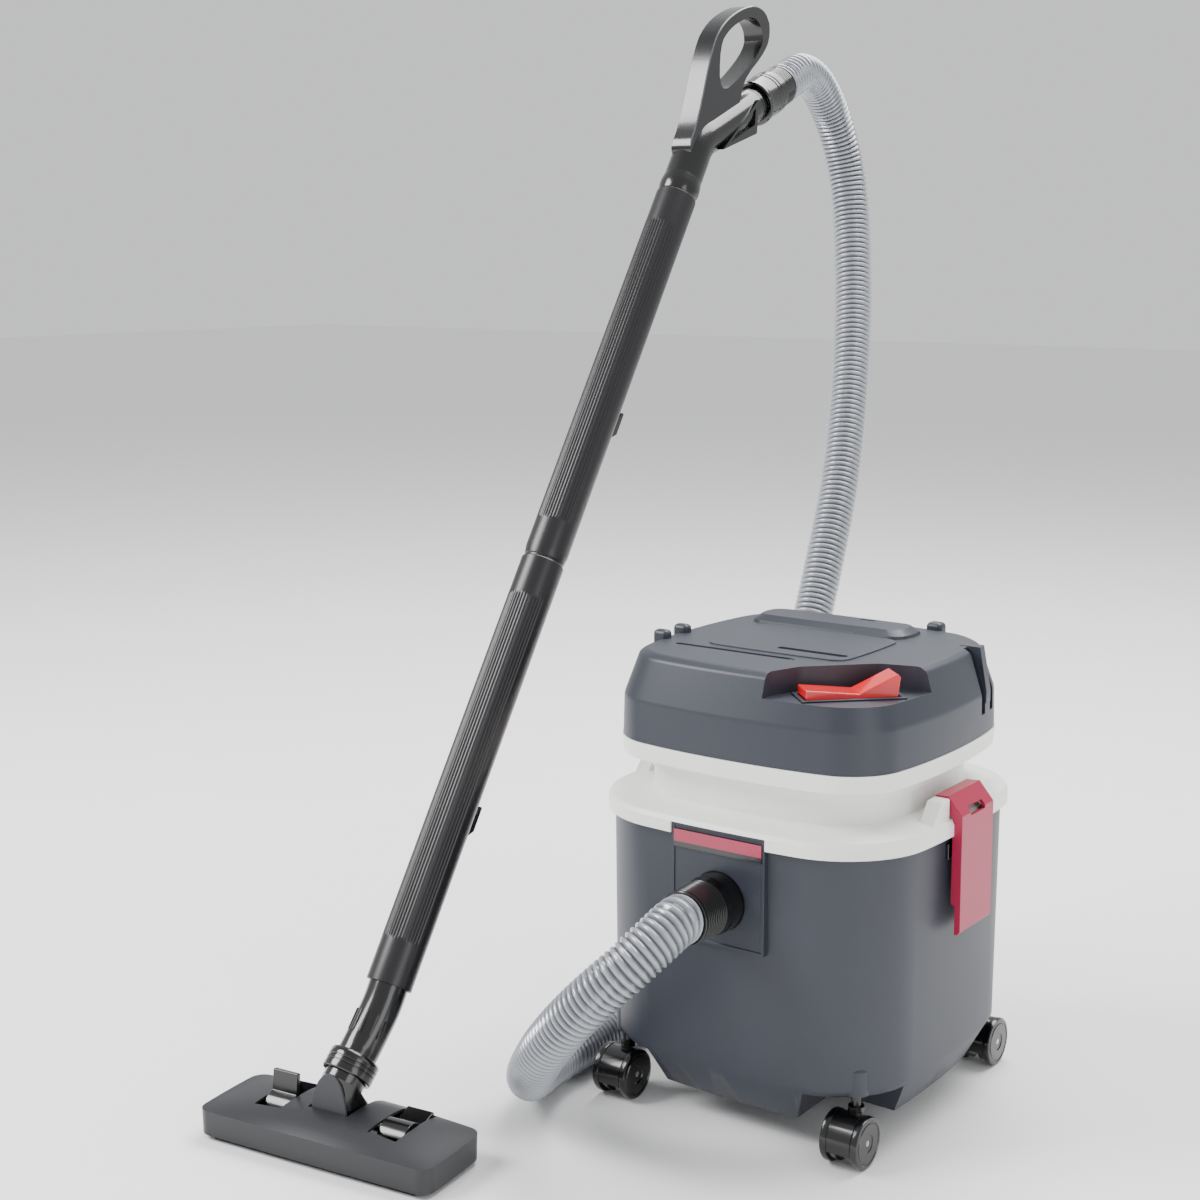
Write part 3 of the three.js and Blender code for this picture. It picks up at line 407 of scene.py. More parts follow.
def even_line(line, step):
    """The same line as points a constant distance apart."""
    run = [0.0]
    for a, b in zip(line, line[1:]):
        run.append(run[-1] + (b - a).length)
    count = max(round(run[-1] / step), 1)
    out = []
    k = 0
    for i in range(count + 1):
        want = run[-1] * i / count
        while k < len(line) - 2 and run[k + 1] < want:
            k += 1
        t = (want - run[k]) / max(run[k + 1] - run[k], 1e-9)
        out.append(line[k].lerp(line[k + 1], min(max(t, 0), 1)))
    return out


# ------------------------------------------------------------------ finishes
def node(tree, kind, inputs=None, **settings):
    """Adds a shader node. An input is a value, or an output socket to link."""
    made = tree.nodes.new(kind)
    for key, value in settings.items():
        setattr(made, key, value)
    for key, value in (inputs or {}).items():
        socket = made.inputs[key]
        if isinstance(value, bpy.types.NodeSocket):
            tree.links.new(value, socket)
        else:
            socket.default_value = value
    return made


def moulded(name, tone, roughness, grain_mm, depth, uneven=0.12, coat=0.0, ior=1.5, scatter=0.0):
    """A moulded plastic: a grain of the given size over a slow change of tone and sheen."""
    material = bpy.data.materials.new(name)
    material.use_nodes = True
    tree = material.node_tree
    surface = tree.nodes["Principled BSDF"]
    place = node(tree, "ShaderNodeTexCoord").outputs["Object"]
    slow = node(tree, "ShaderNodeTexNoise", {"Vector": place, "Scale": 9.0, "Detail": 4.0}).outputs["Fac"]
    fine = {"Vector": place, "Scale": 1 / (grain_mm * MM), "Detail": 2.0}
    grain = node(tree, "ShaderNodeTexNoise", fine).outputs["Fac"]
    dark = tuple(c * (1 - uneven) for c in tone)
    light = tuple(min(c * (1 + uneven), 1) for c in tone)
    tones = {"Factor": slow, "A": (*dark, 1), "B": (*light, 1)}
    tint = node(tree, "ShaderNodeMix", tones, data_type="RGBA")
    span = {"Value": slow, "To Min": roughness - 0.04, "To Max": roughness + 0.05}
    sheen = node(tree, "ShaderNodeMapRange", span)
    bump = node(tree, "ShaderNodeBump", {"Height": grain, "Strength": depth, "Distance": 0.0003})
    tree.links.new(tint.outputs["Result"], surface.inputs["Base Color"])
    tree.links.new(sheen.outputs["Result"], surface.inputs["Roughness"])
    tree.links.new(bump.outputs["Normal"], surface.inputs["Normal"])
    surface.inputs["IOR"].default_value = ior
    surface.inputs["Coat Weight"].default_value = coat
    surface.inputs["Coat Roughness"].default_value = 0.08
    surface.inputs["Subsurface Weight"].default_value = scatter
    surface.inputs["Subsurface Radius"].default_value = (0.004, 0.004, 0.0035)
    return material


def finish(name):
    """The named finish, made on first use."""
    if name in bpy.data.materials:
        return bpy.data.materials[name]
    c = colours()
    recipes = {
        # Spark-eroded ABS: soft broad highlights and a fine even grain, drawn coarse enough to show.
        "abs_slate": lambda: moulded(name, c.body, 0.42, sizes().grain / MM, 0.35),
        # Natural polypropylene: a milky white that lets a little light in at thin edges.
        "polypropylene_white": lambda: moulded(name, c.ring, 0.38, 2.5, 0.1, 0.03, scatter=0.08),
        # Polished ABS: crisp reflections on a deep black.
        "abs_gloss_black": lambda: moulded(name, c.gloss, 0.2, 6.0, 0.05, 0.2, coat=0.3),
        # Satin ABS of the floor head: a wide grey sheen.
        "abs_satin_charcoal": lambda: moulded(name, c.head, 0.38, 1.2, 0.25),
        # Extruded ABS tube: smooth with a long satin streak.
        "abs_tube": lambda: moulded(name, c.wand, 0.34, 1.6, 0.12, 0.15),
        # Satin ABS facets of the grip: pale under light, with a dry feel.
        "abs_satin_grey": lambda: moulded(name, linear("#55575c"), 0.42, 1.2, 0.2),
        # Matt neck cheek: flat grey without glare.
        "abs_matt_grey": lambda: moulded(name, linear("#3a3b3f"), 0.6, 1.0, 0.3),
        # Coloured ABS latch: an even wine red with a clear sheen.
        "abs_crimson": lambda: moulded(name, c.accent, 0.33, 1.4, 0.15, 0.06),
        # Polished ABS rocker: wet bright red.
        "abs_signal_red": lambda: moulded(name, c.switch, 0.18, 5.0, 0.05, 0.05, coat=0.4),
        # Neoprene rubber: dull with a powdery break-up.
        "rubber_black": lambda: moulded(name, linear("#1d1d1f"), 0.75, 1.0, 0.5, 0.2),
        # Nylon bristle: dark with a faint gloss along each tuft.
        "nylon_bristle": lambda: moulded(name, linear("#121214"), 0.45, 0.8, 0.3, 0.3),
    }
    return recipes[name]()


def fibre_felt():
    """Needled polyester felt: a pale matted fibre with no highlight."""
    material = moulded("polyester_felt", linear("#cfcabc"), 0.9, 1.4, 1.0, 0.1)
    surface = material.node_tree.nodes["Principled BSDF"]
    surface.inputs["Sheen Weight"].default_value = 0.3
    return material


def bare_metal(name, tone, roughness, streak):
    """A machined metal: fine turning lines that stretch the highlight."""
    material = bpy.data.materials.new(name)
    material.use_nodes = True
    tree = material.node_tree
    surface = tree.nodes["Principled BSDF"]
    place = node(tree, "ShaderNodeTexCoord").outputs["Object"]
    stretched = node(tree, "ShaderNodeMapping", {"Vector": place, "Scale": (1, 1, streak)}).outputs["Vector"]
    turning = {"Vector": stretched, "Scale": 400.0, "Detail": 3.0}
    lines = node(tree, "ShaderNodeTexNoise", turning).outputs["Fac"]
    span = {"Value": lines, "To Min": roughness - 0.1, "To Max": roughness + 0.1}
    sheen = node(tree, "ShaderNodeMapRange", span)
    bump = node(tree, "ShaderNodeBump", {"Height": lines, "Strength": 0.2, "Distance": 0.0002})
    tree.links.new(sheen.outputs["Result"], surface.inputs["Roughness"])
    tree.links.new(bump.outputs["Normal"], surface.inputs["Normal"])
    surface.inputs["Base Color"].default_value = (*tone, 1)
    surface.inputs["Metallic"].default_value = 1.0
    return material


# Painted shade: how much darker the valleys are coloured than the ridges, standing in for the shade between the
# ribs.
VALLEY_PAINTED_SHADE = 0.22


def ribbed_pvc():
    """Plasticised PVC hose: bright wet ridges over valleys darkened with painted shade, told apart by the rib
    attribute.
    """
    material = bpy.data.materials.new("pvc_ribbed")
    material.use_nodes = True
    tree = material.node_tree
    surface = tree.nodes["Principled BSDF"]
    rib = node(tree, "ShaderNodeAttribute", attribute_name="rib").outputs["Fac"]
    tone = colours().hose
    # Painted shade: the valley colour is the hose tone darkened, standing in for the shade that falls between the
    # ribs.
    painted_valley_shade = tuple(c * VALLEY_PAINTED_SHADE for c in tone)
    tones = {"Factor": rib, "A": (*painted_valley_shade, 1), "B": (*tone, 1)}
    tint = node(tree, "ShaderNodeMix", tones, data_type="RGBA")
    tree.links.new(tint.outputs["Result"], surface.inputs["Base Color"])
    place = node(tree, "ShaderNodeTexCoord").outputs["Object"]
    scuff = node(tree, "ShaderNodeTexNoise", {"Vector": place, "Scale": 60.0, "Detail": 5.0}).outputs["Fac"]
    sheen = node(tree, "ShaderNodeMapRange", {"Value": scuff, "To Min": 0.16, "To Max": 0.3})
    tree.links.new(sheen.outputs["Result"], surface.inputs["Roughness"])
    surface.inputs["Metallic"].default_value = 0.35
    surface.inputs["Coat Weight"].default_value = 0.3
    surface.inputs["Coat Roughness"].default_value = 0.12
    return material


# Share of the label's height under its black band, and that band's linear colour.
BLACK_BAND = 0.3
LABEL_BLACK = (0.004, 0.004, 0.005, 1)


def printed_label():
    """Printed polyester label: wine red above a black band, under a glossy film."""
    material = moulded("polyester_label", colours().accent, 0.25, 4.0, 0.02, 0.03, coat=0.5)
    tree = material.node_tree
    surface = tree.nodes["Principled BSDF"]
    place = node(tree, "ShaderNodeTexCoord").outputs["Object"]
    height = node(tree, "ShaderNodeSeparateXYZ", {"Vector": place}).outputs["Z"]
    low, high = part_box("inlet_label")
    band = low[2] + (high[2] - low[2]) * BLACK_BAND
    above = node(tree, "ShaderNodeMath", {0: height, 1: band}, operation="GREATER_THAN").outputs["Value"]
    red = (*colours().accent, 1)
    tones = {"Factor": above, "A": LABEL_BLACK, "B": red}
    tint = node(tree, "ShaderNodeMix", tones, data_type="RGBA")
    tree.links.new(tint.outputs["Result"], surface.inputs["Base Color"])
    return material


def dress(material, *nodes):
    """Gives CAD nodes that keep their own shape a finish."""
    for name in nodes:
        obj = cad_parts[name]
        if not obj.material_slots:
            obj.data.materials.append(material)
        for holder in obj.material_slots:
            holder.link = "OBJECT"
            holder.material = material


# ------------------------------------------------------------------ stage and camera
CAMERA_SPOT = (943.2, -1673.4, 851.2)
CAMERA_PITCH, CAMERA_TURN = 82.156, 35.785
LENS, SENSOR, SHIFT_Y = 57.78, 36, -0.0692
CLIP_NEAR, CLIP_FAR = 0.05, 60
FLOOR_WIDTH = 30
WORLD_STRENGTH = 0.9
LIGHT_AIM = (0.05, 0.0, 0.35)
# Each light's name, place and size in metres, and power in watts.
LIGHTS = (
    ("key_left", (-2.2, -1.9, 2.6), (1.6, 1.6), 170),
    ("fill_right", (3.0, -1.2, 1.2), (1.2, 2.2), 26),
    ("top_back", (0.2, 1.6, 3.2), (3.0, 2.0), 190),
)


def make_camera():
    data = bpy.data.cameras.new("camera")
    camera = bpy.data.objects.new("camera", data)
    bpy.context.scene.collection.objects.link(camera)
    camera.location = TO_ROW @ Vector(CAMERA_SPOT)
    camera.rotation_euler = (math.radians(CAMERA_PITCH), 0, math.radians(CAMERA_TURN))
    data.lens, data.sensor_width = LENS, SENSOR
    data.shift_y = SHIFT_Y
    data.clip_start, data.clip_end = CLIP_NEAR, CLIP_FAR
    bpy.context.scene.camera = camera


def soft_light(name, spot, size, power):
    data = bpy.data.lights.new(name, "AREA")
    data.shape = "RECTANGLE"
    data.size, data.size_y = size
    data.energy = power
    light = bpy.data.objects.new(name, data)
    bpy.context.scene.collection.objects.link(light)
    light.location = spot
    light.rotation_euler = (Vector(LIGHT_AIM) - Vector(spot)).to_track_quat("-Z", "Y").to_euler()


def make_stage():
    deselect()
    bpy.ops.mesh.primitive_plane_add(size=FLOOR_WIDTH, location=(0, 0, 0))
    floor = bpy.context.object
    floor.name = "studio_floor"
    floor.data.materials.append(moulded("paper_pale", linear("#f4f4f3"), 0.8, 20, 0.02, 0.01))
    world = bpy.data.worlds.new("studio")
    bpy.context.scene.world = world
    world.use_nodes = True
    sky = world.node_tree.nodes["Background"]
    sky.inputs["Color"].default_value = (*linear("#f7f8fa"), 1)
    sky.inputs["Strength"].default_value = WORLD_STRENGTH
    for light in LIGHTS:
        soft_light(*light)


# ------------------------------------------------------------------ hose and cuffs
INLET_X, INLET_Z = 2, 239
BOSS_FACE = 184
CUFF_LENGTH = 52
WAND_FOOT = Vector((-280, -330, 140))
WAND_LEAN = math.radians(33)
WAND_LENGTH = 460
WAND_UP = Vector((0, math.sin(WAND_LEAN), math.cos(WAND_LEAN)))
HANDLE_RISE = math.radians(22.5)
HANDLE_OUT = Vector((0, math.cos(HANDLE_RISE), math.sin(HANDLE_RISE)))
WAND_GAP = 0.5
WAND_TOP = WAND_FOOT + WAND_UP * (WAND_LENGTH * 2 + WAND_GAP)
BEND_RISE = 75
BEND = WAND_TOP + WAND_UP * BEND_RISE
CUFF_END = 200
CUFF_START = 131
HOSE_RADIUS = 24
HOSE_STRAIGHT = 12
HOSE_GAP = 0.3

# The route's points in metres, as in the CAD source.
HOSE_ROUTE = [
    (-0.004, -0.273, 0.227), (-0.020, -0.297, 0.205), (-0.044, -0.310, 0.179),
    (-0.072, -0.313, 0.149), (-0.103, -0.305, 0.115), (-0.134, -0.285, 0.080), (-0.164, -0.254, 0.050),
    (-0.188, -0.216, 0.031), (-0.200, -0.177, 0.0248), (-0.202, -0.135, 0.0244), (-0.202, -0.090, 0.0244),
    (-0.201, -0.045, 0.025), (-0.200, 0.000, 0.031), (-0.199, 0.045, 0.048), (-0.197, 0.092, 0.082),
    (-0.194, 0.140, 0.130), (-0.190, 0.188, 0.188), (-0.187, 0.236, 0.254), (-0.186, 0.284, 0.328),
    (-0.188, 0.330, 0.404), (-0.194, 0.376, 0.482), (-0.203, 0.424, 0.565), (-0.217, 0.468, 0.650),
    (-0.234, 0.508, 0.738), (-0.252, 0.540, 0.828), (-0.267, 0.558, 0.908), (-0.277, 0.556, 0.972),
    (-0.282, 0.530, 1.026), (-0.281, 0.485, 1.062), (-0.280, 0.445, 1.070),
]


def hose_points():
    start = Vector((INLET_X, -BOSS_FACE - CUFF_LENGTH - HOSE_GAP, INLET_Z))
    mouth = BEND + HANDLE_OUT * (CUFF_END + HOSE_GAP)
    middle = [Vector(p) / MM for p in HOSE_ROUTE]
    return [start, start + Vector((0, -HOSE_STRAIGHT, 0)), *middle, mouth + HANDLE_OUT * HOSE_STRAIGHT, mouth]


RIB_STEPS = 6
HOSE_SIDES = 28
LINE_STEPS = 24
# Under one, this power widens the ridges and narrows the valleys.
CREST_POWER = 0.7


def make_hose():
    """The ribbed tube, swept along its route ring by ring."""
    pitch, depth = sizes().rib_pitch / MM, sizes().rib_depth / MM
    line = even_line(smooth_line(hose_points(), LINE_STEPS), pitch / RIB_STEPS)
    side = Vector((1, 0, 0))
    rings, ribs = [], []
    for i, point in enumerate(line):
        ahead = (line[min(i + 1, len(line) - 1)] - line[max(i - 1, 0)]).normalized()
        side = (side - ahead * side.dot(ahead)).normalized()
        other = ahead.cross(side)
        crest = (0.5 - 0.5 * math.cos(2 * math.pi * i / RIB_STEPS)) ** CREST_POWER
        radius = HOSE_RADIUS - depth * (1 - crest)
        for k in range(HOSE_SIDES):
            angle = 2 * math.pi * k / HOSE_SIDES
            rings.append(point + (side * math.cos(angle) + other * math.sin(angle)) * radius)
            ribs.append(crest)
    faces = []
    for i in range(len(line) - 1):
        for k in range(HOSE_SIDES):
            j = (k + 1) % HOSE_SIDES
            a, b = i * HOSE_SIDES, (i + 1) * HOSE_SIDES
            faces.append((a + k, a + j, b + j, b + k))
    last = (len(line) - 1) * HOSE_SIDES
    faces.append(tuple(range(HOSE_SIDES - 1, -1, -1)))
    faces.append(tuple(last + k for k in range(HOSE_SIDES)))
    mesh = bpy.data.meshes.new("ribbed_hose")
    mesh.from_pydata(rings, [], faces)
    mesh.attributes.new("rib", "FLOAT", "POINT").data.foreach_set("value", ribs)
    hose = bpy.data.objects.new("ribbed_hose", mesh)
    bpy.context.scene.collection.objects.link(hose)
    settle(hose, "ribbed_hose", "canister", ribbed_pvc(), ["hose"], smooth=60, firm=False)
    return hose, [TO_ROW @ p for p in line]


def ribbed_profile(start, end, wide, narrow, pitch=2.6, depth=0.7):
    """Outside points of a cuff that tapers from wide to narrow with fine ribs."""
    points = []
    count = int((end - start) / pitch)
    for i in range(count):
        z = start + (end - start) * i / count
        radius = wide + (narrow - wide) * i / count
        low = radius - depth
        points += [(radius, z), (radius, z + pitch * 0.55), (low, z + pitch * 0.7), (low, z + pitch * 0.95)]
    return points


def make_inlet_cuff():
    profile = [(20, -26), (28.5, -26), (28.5, 8), (27.8, 9), (27.3, 16)]
    profile += ribbed_profile(17, 48, 27.2, 26.0) + [(26, 49), (26, 51.2), (25.2, 52), (20, 52)]
    cuff = turned(profile, ring=True)
    place = shift(INLET_X, -BOSS_FACE, INLET_Z) @ turn(90, "X")
    black = finish("abs_gloss_black")
    return settle(cuff, "inlet_cuff_ribbed", "inlet_cuff", black, ["hose_cuff_inlet"], place)


def along(start, direction):
    """A matrix that stands Z on a direction at a point."""
    return Matrix.Translation(start) @ direction.to_track_quat("Z", "Y").to_matrix().to_4x4()


def make_handle_cuff():
    seat = 150.5
    profile = [(22.3, seat), (22.3, CUFF_START), (26, CUFF_START)]
    profile += [(27.6, CUFF_START + 1.6), (27.6, CUFF_START + 6), (26.5, CUFF_START + 8)]
    for z in (CUFF_START + 26, CUFF_START + 32):
        profile += [(26.5, z), (25.6, z + 0.8), (25.6, z + 1.6), (26.5, z + 2.4)]
    profile += [(26.5, CUFF_START + 42), (24.8, CUFF_START + 44)]
    profile += ribbed_profile(CUFF_START + 46, CUFF_END - 3, 24.8, 24.5)
    profile += [(24.5, CUFF_END - 2), (24, CUFF_END), (19, CUFF_END), (19, seat)]
    cuff = turned(profile, ring=True)
    place = along(BEND, HANDLE_OUT)
    black = finish("abs_gloss_black")
    return settle(cuff, "handle_cuff_ribbed", "canister", black, ["hose_cuff_handle"], place)


# ------------------------------------------------------------------ tank
FLANGE = (165.3, 167.8, 78.6, 7.6)
HEAD_PLAN = (145.0, 145.9, 42.0, 13.0)
TIER_PLAN = (122.9, 121.6, 42.0, 13.0)
TANK_INSET, TANK_DRAFT, TANK_FOOT, WALL = 6.6, 2.2, 20, 3
TANK_TOP, TANK_CREASE, TANK_BOTTOM = 306, 72, 30
CASTER_X, CASTER_Y = 131, 133
CORNERS = {"front_right": (1, -1), "front_left": (-1, -1), "rear_right": (1, 1), "rear_left": (-1, 1)}


def tank_solid(inset, top, crease, bottom):
    half_x, half_y, corner, bow = FLANGE
    x, y = half_x - inset, half_y - inset
    solid = plan(x, y, corner - inset, bow, top)
    rise((top, x, y), [
        (crease, x - TANK_DRAFT, y - TANK_DRAFT),
        (bottom, x - TANK_DRAFT - TANK_FOOT, y - TANK_DRAFT - TANK_FOOT),
    ])
    deselect()
    return solid


def caster_pocket(sx, sy, wall):
    """The space over a caster, open at the tank's corner, with sloping inner sides."""
    low, high, far, floor, ceiling = 60 + wall, 43 + wall, 110, 20, 64 + wall
    pocket = block(CASTER_X - low, CASTER_X + far, CASTER_Y - low, CASTER_Y + far, floor, ceiling)
    edit(pocket)
    choose(pocket, lambda v: v.co.z > floor + 1 and v.co.x < CASTER_X)
    move(low - high, 0, 0)
    choose(pocket, lambda v: v.co.z > floor + 1 and v.co.y < CASTER_Y)
    move(0, low - high, 0)
    deselect()
    return placed(pocket, Matrix.Diagonal((sx, sy, 1, 1)))


# A caster stem's boss, from inside a corner pocket upwards, as (radius, height) pairs.
STEM_BOSS = [(12, 66), (12, 90), (10.5, 92)]
INLET_HOLE = 31


def make_tank():
    outer = tank_solid(TANK_INSET, TANK_TOP, TANK_CREASE, TANK_BOTTOM)
    inner = tank_solid(TANK_INSET + WALL, TANK_TOP + 1, TANK_CREASE + WALL, TANK_BOTTOM + WALL)
    carve(outer, *[caster_pocket(*c, 0) for c in CORNERS.values()])
    carve(inner, *[caster_pocket(*c, WALL) for c in CORNERS.values()])
    bore = turned([(INLET_HOLE, -60), (INLET_HOLE, 20)], 48)
    placed(bore, shift(INLET_X, -165, INLET_Z) @ turn(90, "X"))
    carve(outer, inner, bore)
    soften(outer, sizes().edge / MM)
    bosses = []
    for sx, sy in CORNERS.values():
        boss = turned(STEM_BOSS, 24)
        bosses.append(placed(boss, shift(sx * CASTER_X, sy * CASTER_Y, 0)))
    tank = gather(outer, *bosses)
    settle(tank, "tank_moulding", "canister", finish("abs_slate"), ["tank"])


PLATE = (-50.9, 52.9, 194.3, 308.2)
PLATE_FACE, PLATE_BACK = 176, 166.5
PLATE_RIM, PLATE_SUNK = 3.2, 1.1
BOSS_BORE = 29.5
BOSS_RINGS = [
    (BOSS_BORE, 0), (42, 0), (42, 4.5), (40.5, 6), (38.5, 6), (37.8, 5),
    (34.5, 5), (33.5, 8), (30.3, 8), (BOSS_BORE, 7.2),
]


def make_inlet_plate():
    left, right, bottom, top = PLATE
    plate = block(left, right, -PLATE_FACE, -PLATE_BACK, bottom, top)
    edit(plate)
    choose(plate, lambda f: f.normal.y < -0.9, "FACE")
    bpy.ops.mesh.inset(thickness=PLATE_RIM)
    pull(0, PLATE_SUNK, 0)
    deselect()
    soften(plate, 0.8)
    boss = turned(BOSS_RINGS, 72, ring=True)
    placed(boss, shift(INLET_X, -PLATE_FACE + PLATE_SUNK, INLET_Z) @ turn(90, "X"))
    drill = turned([(BOSS_BORE, -30), (BOSS_BORE, 30)], 72)
    placed(drill, shift(INLET_X, -PLATE_FACE, INLET_Z) @ turn(90, "X"))
    carve(plate, drill)
    settle(gather(plate, boss), "inlet_panel", "canister", finish("abs_slate"), ["inlet_plate"])
    dress(printed_label(), "inlet_label")
    dress(finish("rubber_black"), "inlet_seal")


# ------------------------------------------------------------------ cover ring and motor cover
LIP_LOW, LIP_TURN, LIP_ROUND, DECK_EDGE, DECK_FOOT = 297.7, 309, 313.2, 315, 317.4
TIER_MIDDLE, TIER_STEP, TIER_SHELF, SEAT_LOW, SEAT_TOP = 340, 341, 352, 356, 373.2
EAR_NEAR, EAR_TIP, EAR_FOOT, EAR_BASE, EAR_TOP, EAR_HALF = 35.5, 17, 37, 311, 334, 8
LATCH_X, LATCH_Y = 163, 5


def open_rim(low, high):
    """A test for boundary edges that lie at either height."""

    def on_rim(edge):
        at_height = any(all(abs(v.co.z - z) < 0.01 for v in edge.verts) for z in (low, high))
        return edge.is_boundary and at_height

    return on_rim


def ring_shell():
    """The skin from the lip up over the deck, the lower tier and the upper tier."""
    x, y, corner, bow = FLANGE
    lip = plan(x, y, corner, bow, LIP_LOW, filled=False)
    rise((LIP_LOW, x, y), [(LIP_TURN, x, y), (LIP_ROUND, x - 2.2, y - 2.2), (DECK_EDGE, x - 9, y - 9)])
    x, y, corner, bow = TIER_PLAN
    tier = plan(x, y, corner, bow, DECK_FOOT, filled=False)
    rise((DECK_FOOT, x, y), [
        (TIER_MIDDLE, x - 0.4, y - 0.4), (TIER_STEP, x + 2.2, y + 2.2), (TIER_SHELF, x + 2.2, y + 2.2),
    ])
    x, y, corner, bow = HEAD_PLAN
    upper = plan(x - 0.8, y - 0.8, corner, bow, SEAT_LOW, filled=False)
    rise((SEAT_LOW, x - 0.8, y - 0.8), [(SEAT_TOP, x + 0.6, y + 0.6), (SEAT_TOP, x - 12, y - 12)])
    shell = gather(lip, tier, upper)
    edit(shell)
    for low, high in ((DECK_EDGE, DECK_FOOT), (TIER_SHELF, SEAT_LOW)):
        choose(shell, open_rim(low, high), "EDGE")
        bpy.ops.mesh.bridge_edge_loops()
    deselect()
    return shell


def make_cover_ring():
    shell = modify(outward(ring_shell()), "SOLIDIFY", thickness=WALL, offset=-1, use_even_offset=True)
    left, right, _, top = PLATE
    carve(shell, block(left - 0.6, right + 0.6, -200, -150, 290, top + 0.5))
    soften(shell, 0.9, 2, 25)
    ears = []
    for side in (1, -1):
        for end in (1, -1):
            points = [
                (EAR_NEAR, EAR_BASE), (EAR_NEAR + EAR_FOOT, EAR_BASE),
                (EAR_NEAR + EAR_TIP, EAR_TOP), (EAR_NEAR, EAR_TOP),
            ]
            ear = prism([(end * y, z) for y, z in points], -EAR_HALF, EAR_HALF)
            placed(ear, Matrix(((0, 0, 1, side * LATCH_X), (1, 0, 0, LATCH_Y), (0, 1, 0, 0), (0, 0, 0, 1))))
            ears.append(soften(outward(ear), 1.4))
    white = finish("polypropylene_white")
    nodes = ["cover_ring", "motor_seat"]
    settle(gather(shell, *ears), "cover_ring_moulding", "motor_head", white, nodes, smooth=25)
    dress(finish("rubber_black"), "rim_seal", "cord_gland")


COVER_LOW, COVER_CREASE, COVER_SHOULDER, COVER_TOP = 373.6, 414, 455, 459.5
RECESS = [(34, -240), (240, -240), (240, -36), (139, -36), (101, -46), (46, -103), (34, -138)]
RECESS_FLOOR = 436
RIDGE_TOP, PANEL_PROUD = 468, 1.4
# Heights that cutters reach, clear under and over the cover.
COVER_UNDER, ABOVE = 360, 500
SWITCH_SPOT = (96, -97, 0)
GLAND_Z, GLAND_HOLE = 400, 8.3


def cover_solid(inset, drop, low):
    x, y, corner, bow = HEAD_PLAN
    x, y = x - inset, y - inset
    solid = plan(x, y, corner - inset, bow, low)
    rise((low, x, y), [
        (COVER_CREASE - drop / 2, x - 0.9, y - 0.9), (COVER_SHOULDER - drop, x - 12.5, y - 12.5),
        (COVER_TOP - drop, x - 19, y - 19),
    ])
    deselect()
    return solid


def groove(x0, x1, y, width, depth, z=COVER_TOP):
    """A cutter for a round-ended channel along X."""
    half = width / 2
    channel = block(x0, x1, y - half, y + half, z - depth, z + 20)
    edit(channel)
    choose(channel, lambda e: abs(e.verts[0].co.z - e.verts[1].co.z) > 5, "EDGE")
    round_off(half * 0.98, 5)
    deselect()
    return channel


def make_motor_cover():
    outer = cover_solid(0, 0, 366)
    soften(outer, 2.4, 3, 10.5)
    back = plan(90, 30, 14, 3, COVER_TOP - 6)
    rise((COVER_TOP - 6, 90, 30), [(COVER_TOP + 3, 87, 27), (RIDGE_TOP, 80, 20)])
    deselect()
    placed(back, shift(-22, 90, 0))
    panel = plan(80, 62, 16, 2, COVER_TOP - 4)
    rise((COVER_TOP - 4, 80, 62), [(COVER_TOP + PANEL_PROUD, 79, 61)])
    deselect()
    placed(panel, shift(-9, -2, 0))
    carve(outer, back, panel, operation="UNION")
    rib = block(126, 157, 78, 92, 404, 460)
    carve(outer, rib, operation="UNION")
    x, y, corner, bow = HEAD_PLAN
    sides = plan(x, y, corner, bow, COVER_UNDER)
    rise((COVER_UNDER, x, y), [(COVER_CREASE + 2, x, y), (472, 136, 137)])
    deselect()
    carve(outer, sides, operation="INTERSECT")
    carve(outer, prism(RECESS, RECESS_FLOOR, ABOVE, 5))
    cuts = [block(135, 170, y0, y1, 394, 480) for y0, y1 in ((67, 77), (93, 103))]
    cuts += [groove(-112, 22, -78, 7, 1.8), groove(4, 26, -78, 4, 6)]
    cuts += [groove(-92, 20, 104, 7, 2, 470), groove(0, 18, 104, 4, 7, 470)]
    cuts += [groove(-14, 64, -42, 9, 3.5, COVER_TOP + PANEL_PROUD)]
    carve(outer, *cuts)
    inner = cover_solid(WALL, WALL, COVER_UNDER)
    carve(inner, prism([(x - WALL, y + WALL) for x, y in RECESS], RECESS_FLOOR - WALL, ABOVE, 5))
    carve(inner, block(131, 175, 62, 108, 350, 480))
    well = block(-46.5, 46.5, -15.5, 15.5, 416, 440)
    placed(well, shift(*SWITCH_SPOT) @ turn(45, "Z"))
    drill = turned([(GLAND_HOLE, 120), (GLAND_HOLE, 180)], 32)
    placed(drill, shift(0, 0, GLAND_Z) @ turn(-90, "X"))
    soften(outer, sizes().edge / MM, 3, 26)
    carve(outer, inner, well, drill, block(-200, 200, -200, 200, 340, COVER_LOW))
    posts = [block(-148, -130, y - 6.5, y + 6.5, 408, 468, 5, 4) for y in (-62, -25)]
    posts.append(block(60, 78, 134, 150, 408, 467, 5, 4))
    cover = gather(outer, *posts)
    nodes = ["motor_cover"]
    settle(cover, "motor_cover_moulding", "motor_head", finish("abs_slate"), nodes, smooth=25)


def make_switch():
    recast("switch_rocker", "switch_paddle", "rocker", "abs_signal_red", 1.1, steps=3)
    recast("switch_bezel", "switch_frame", "motor_head", "abs_slate", 0.5)
    dress(finish("abs_gloss_black"), "switch_body")


def make_insides():
    dress(bare_metal("aluminium_cast", linear("#b6b8bb"), 0.45, 1), "motor_body", "impeller")
    dress(finish("polypropylene_white"), "filter_cage")
    dress(fibre_felt(), "cloth_filter")
    dress(finish("abs_signal_red"), "float_cup")


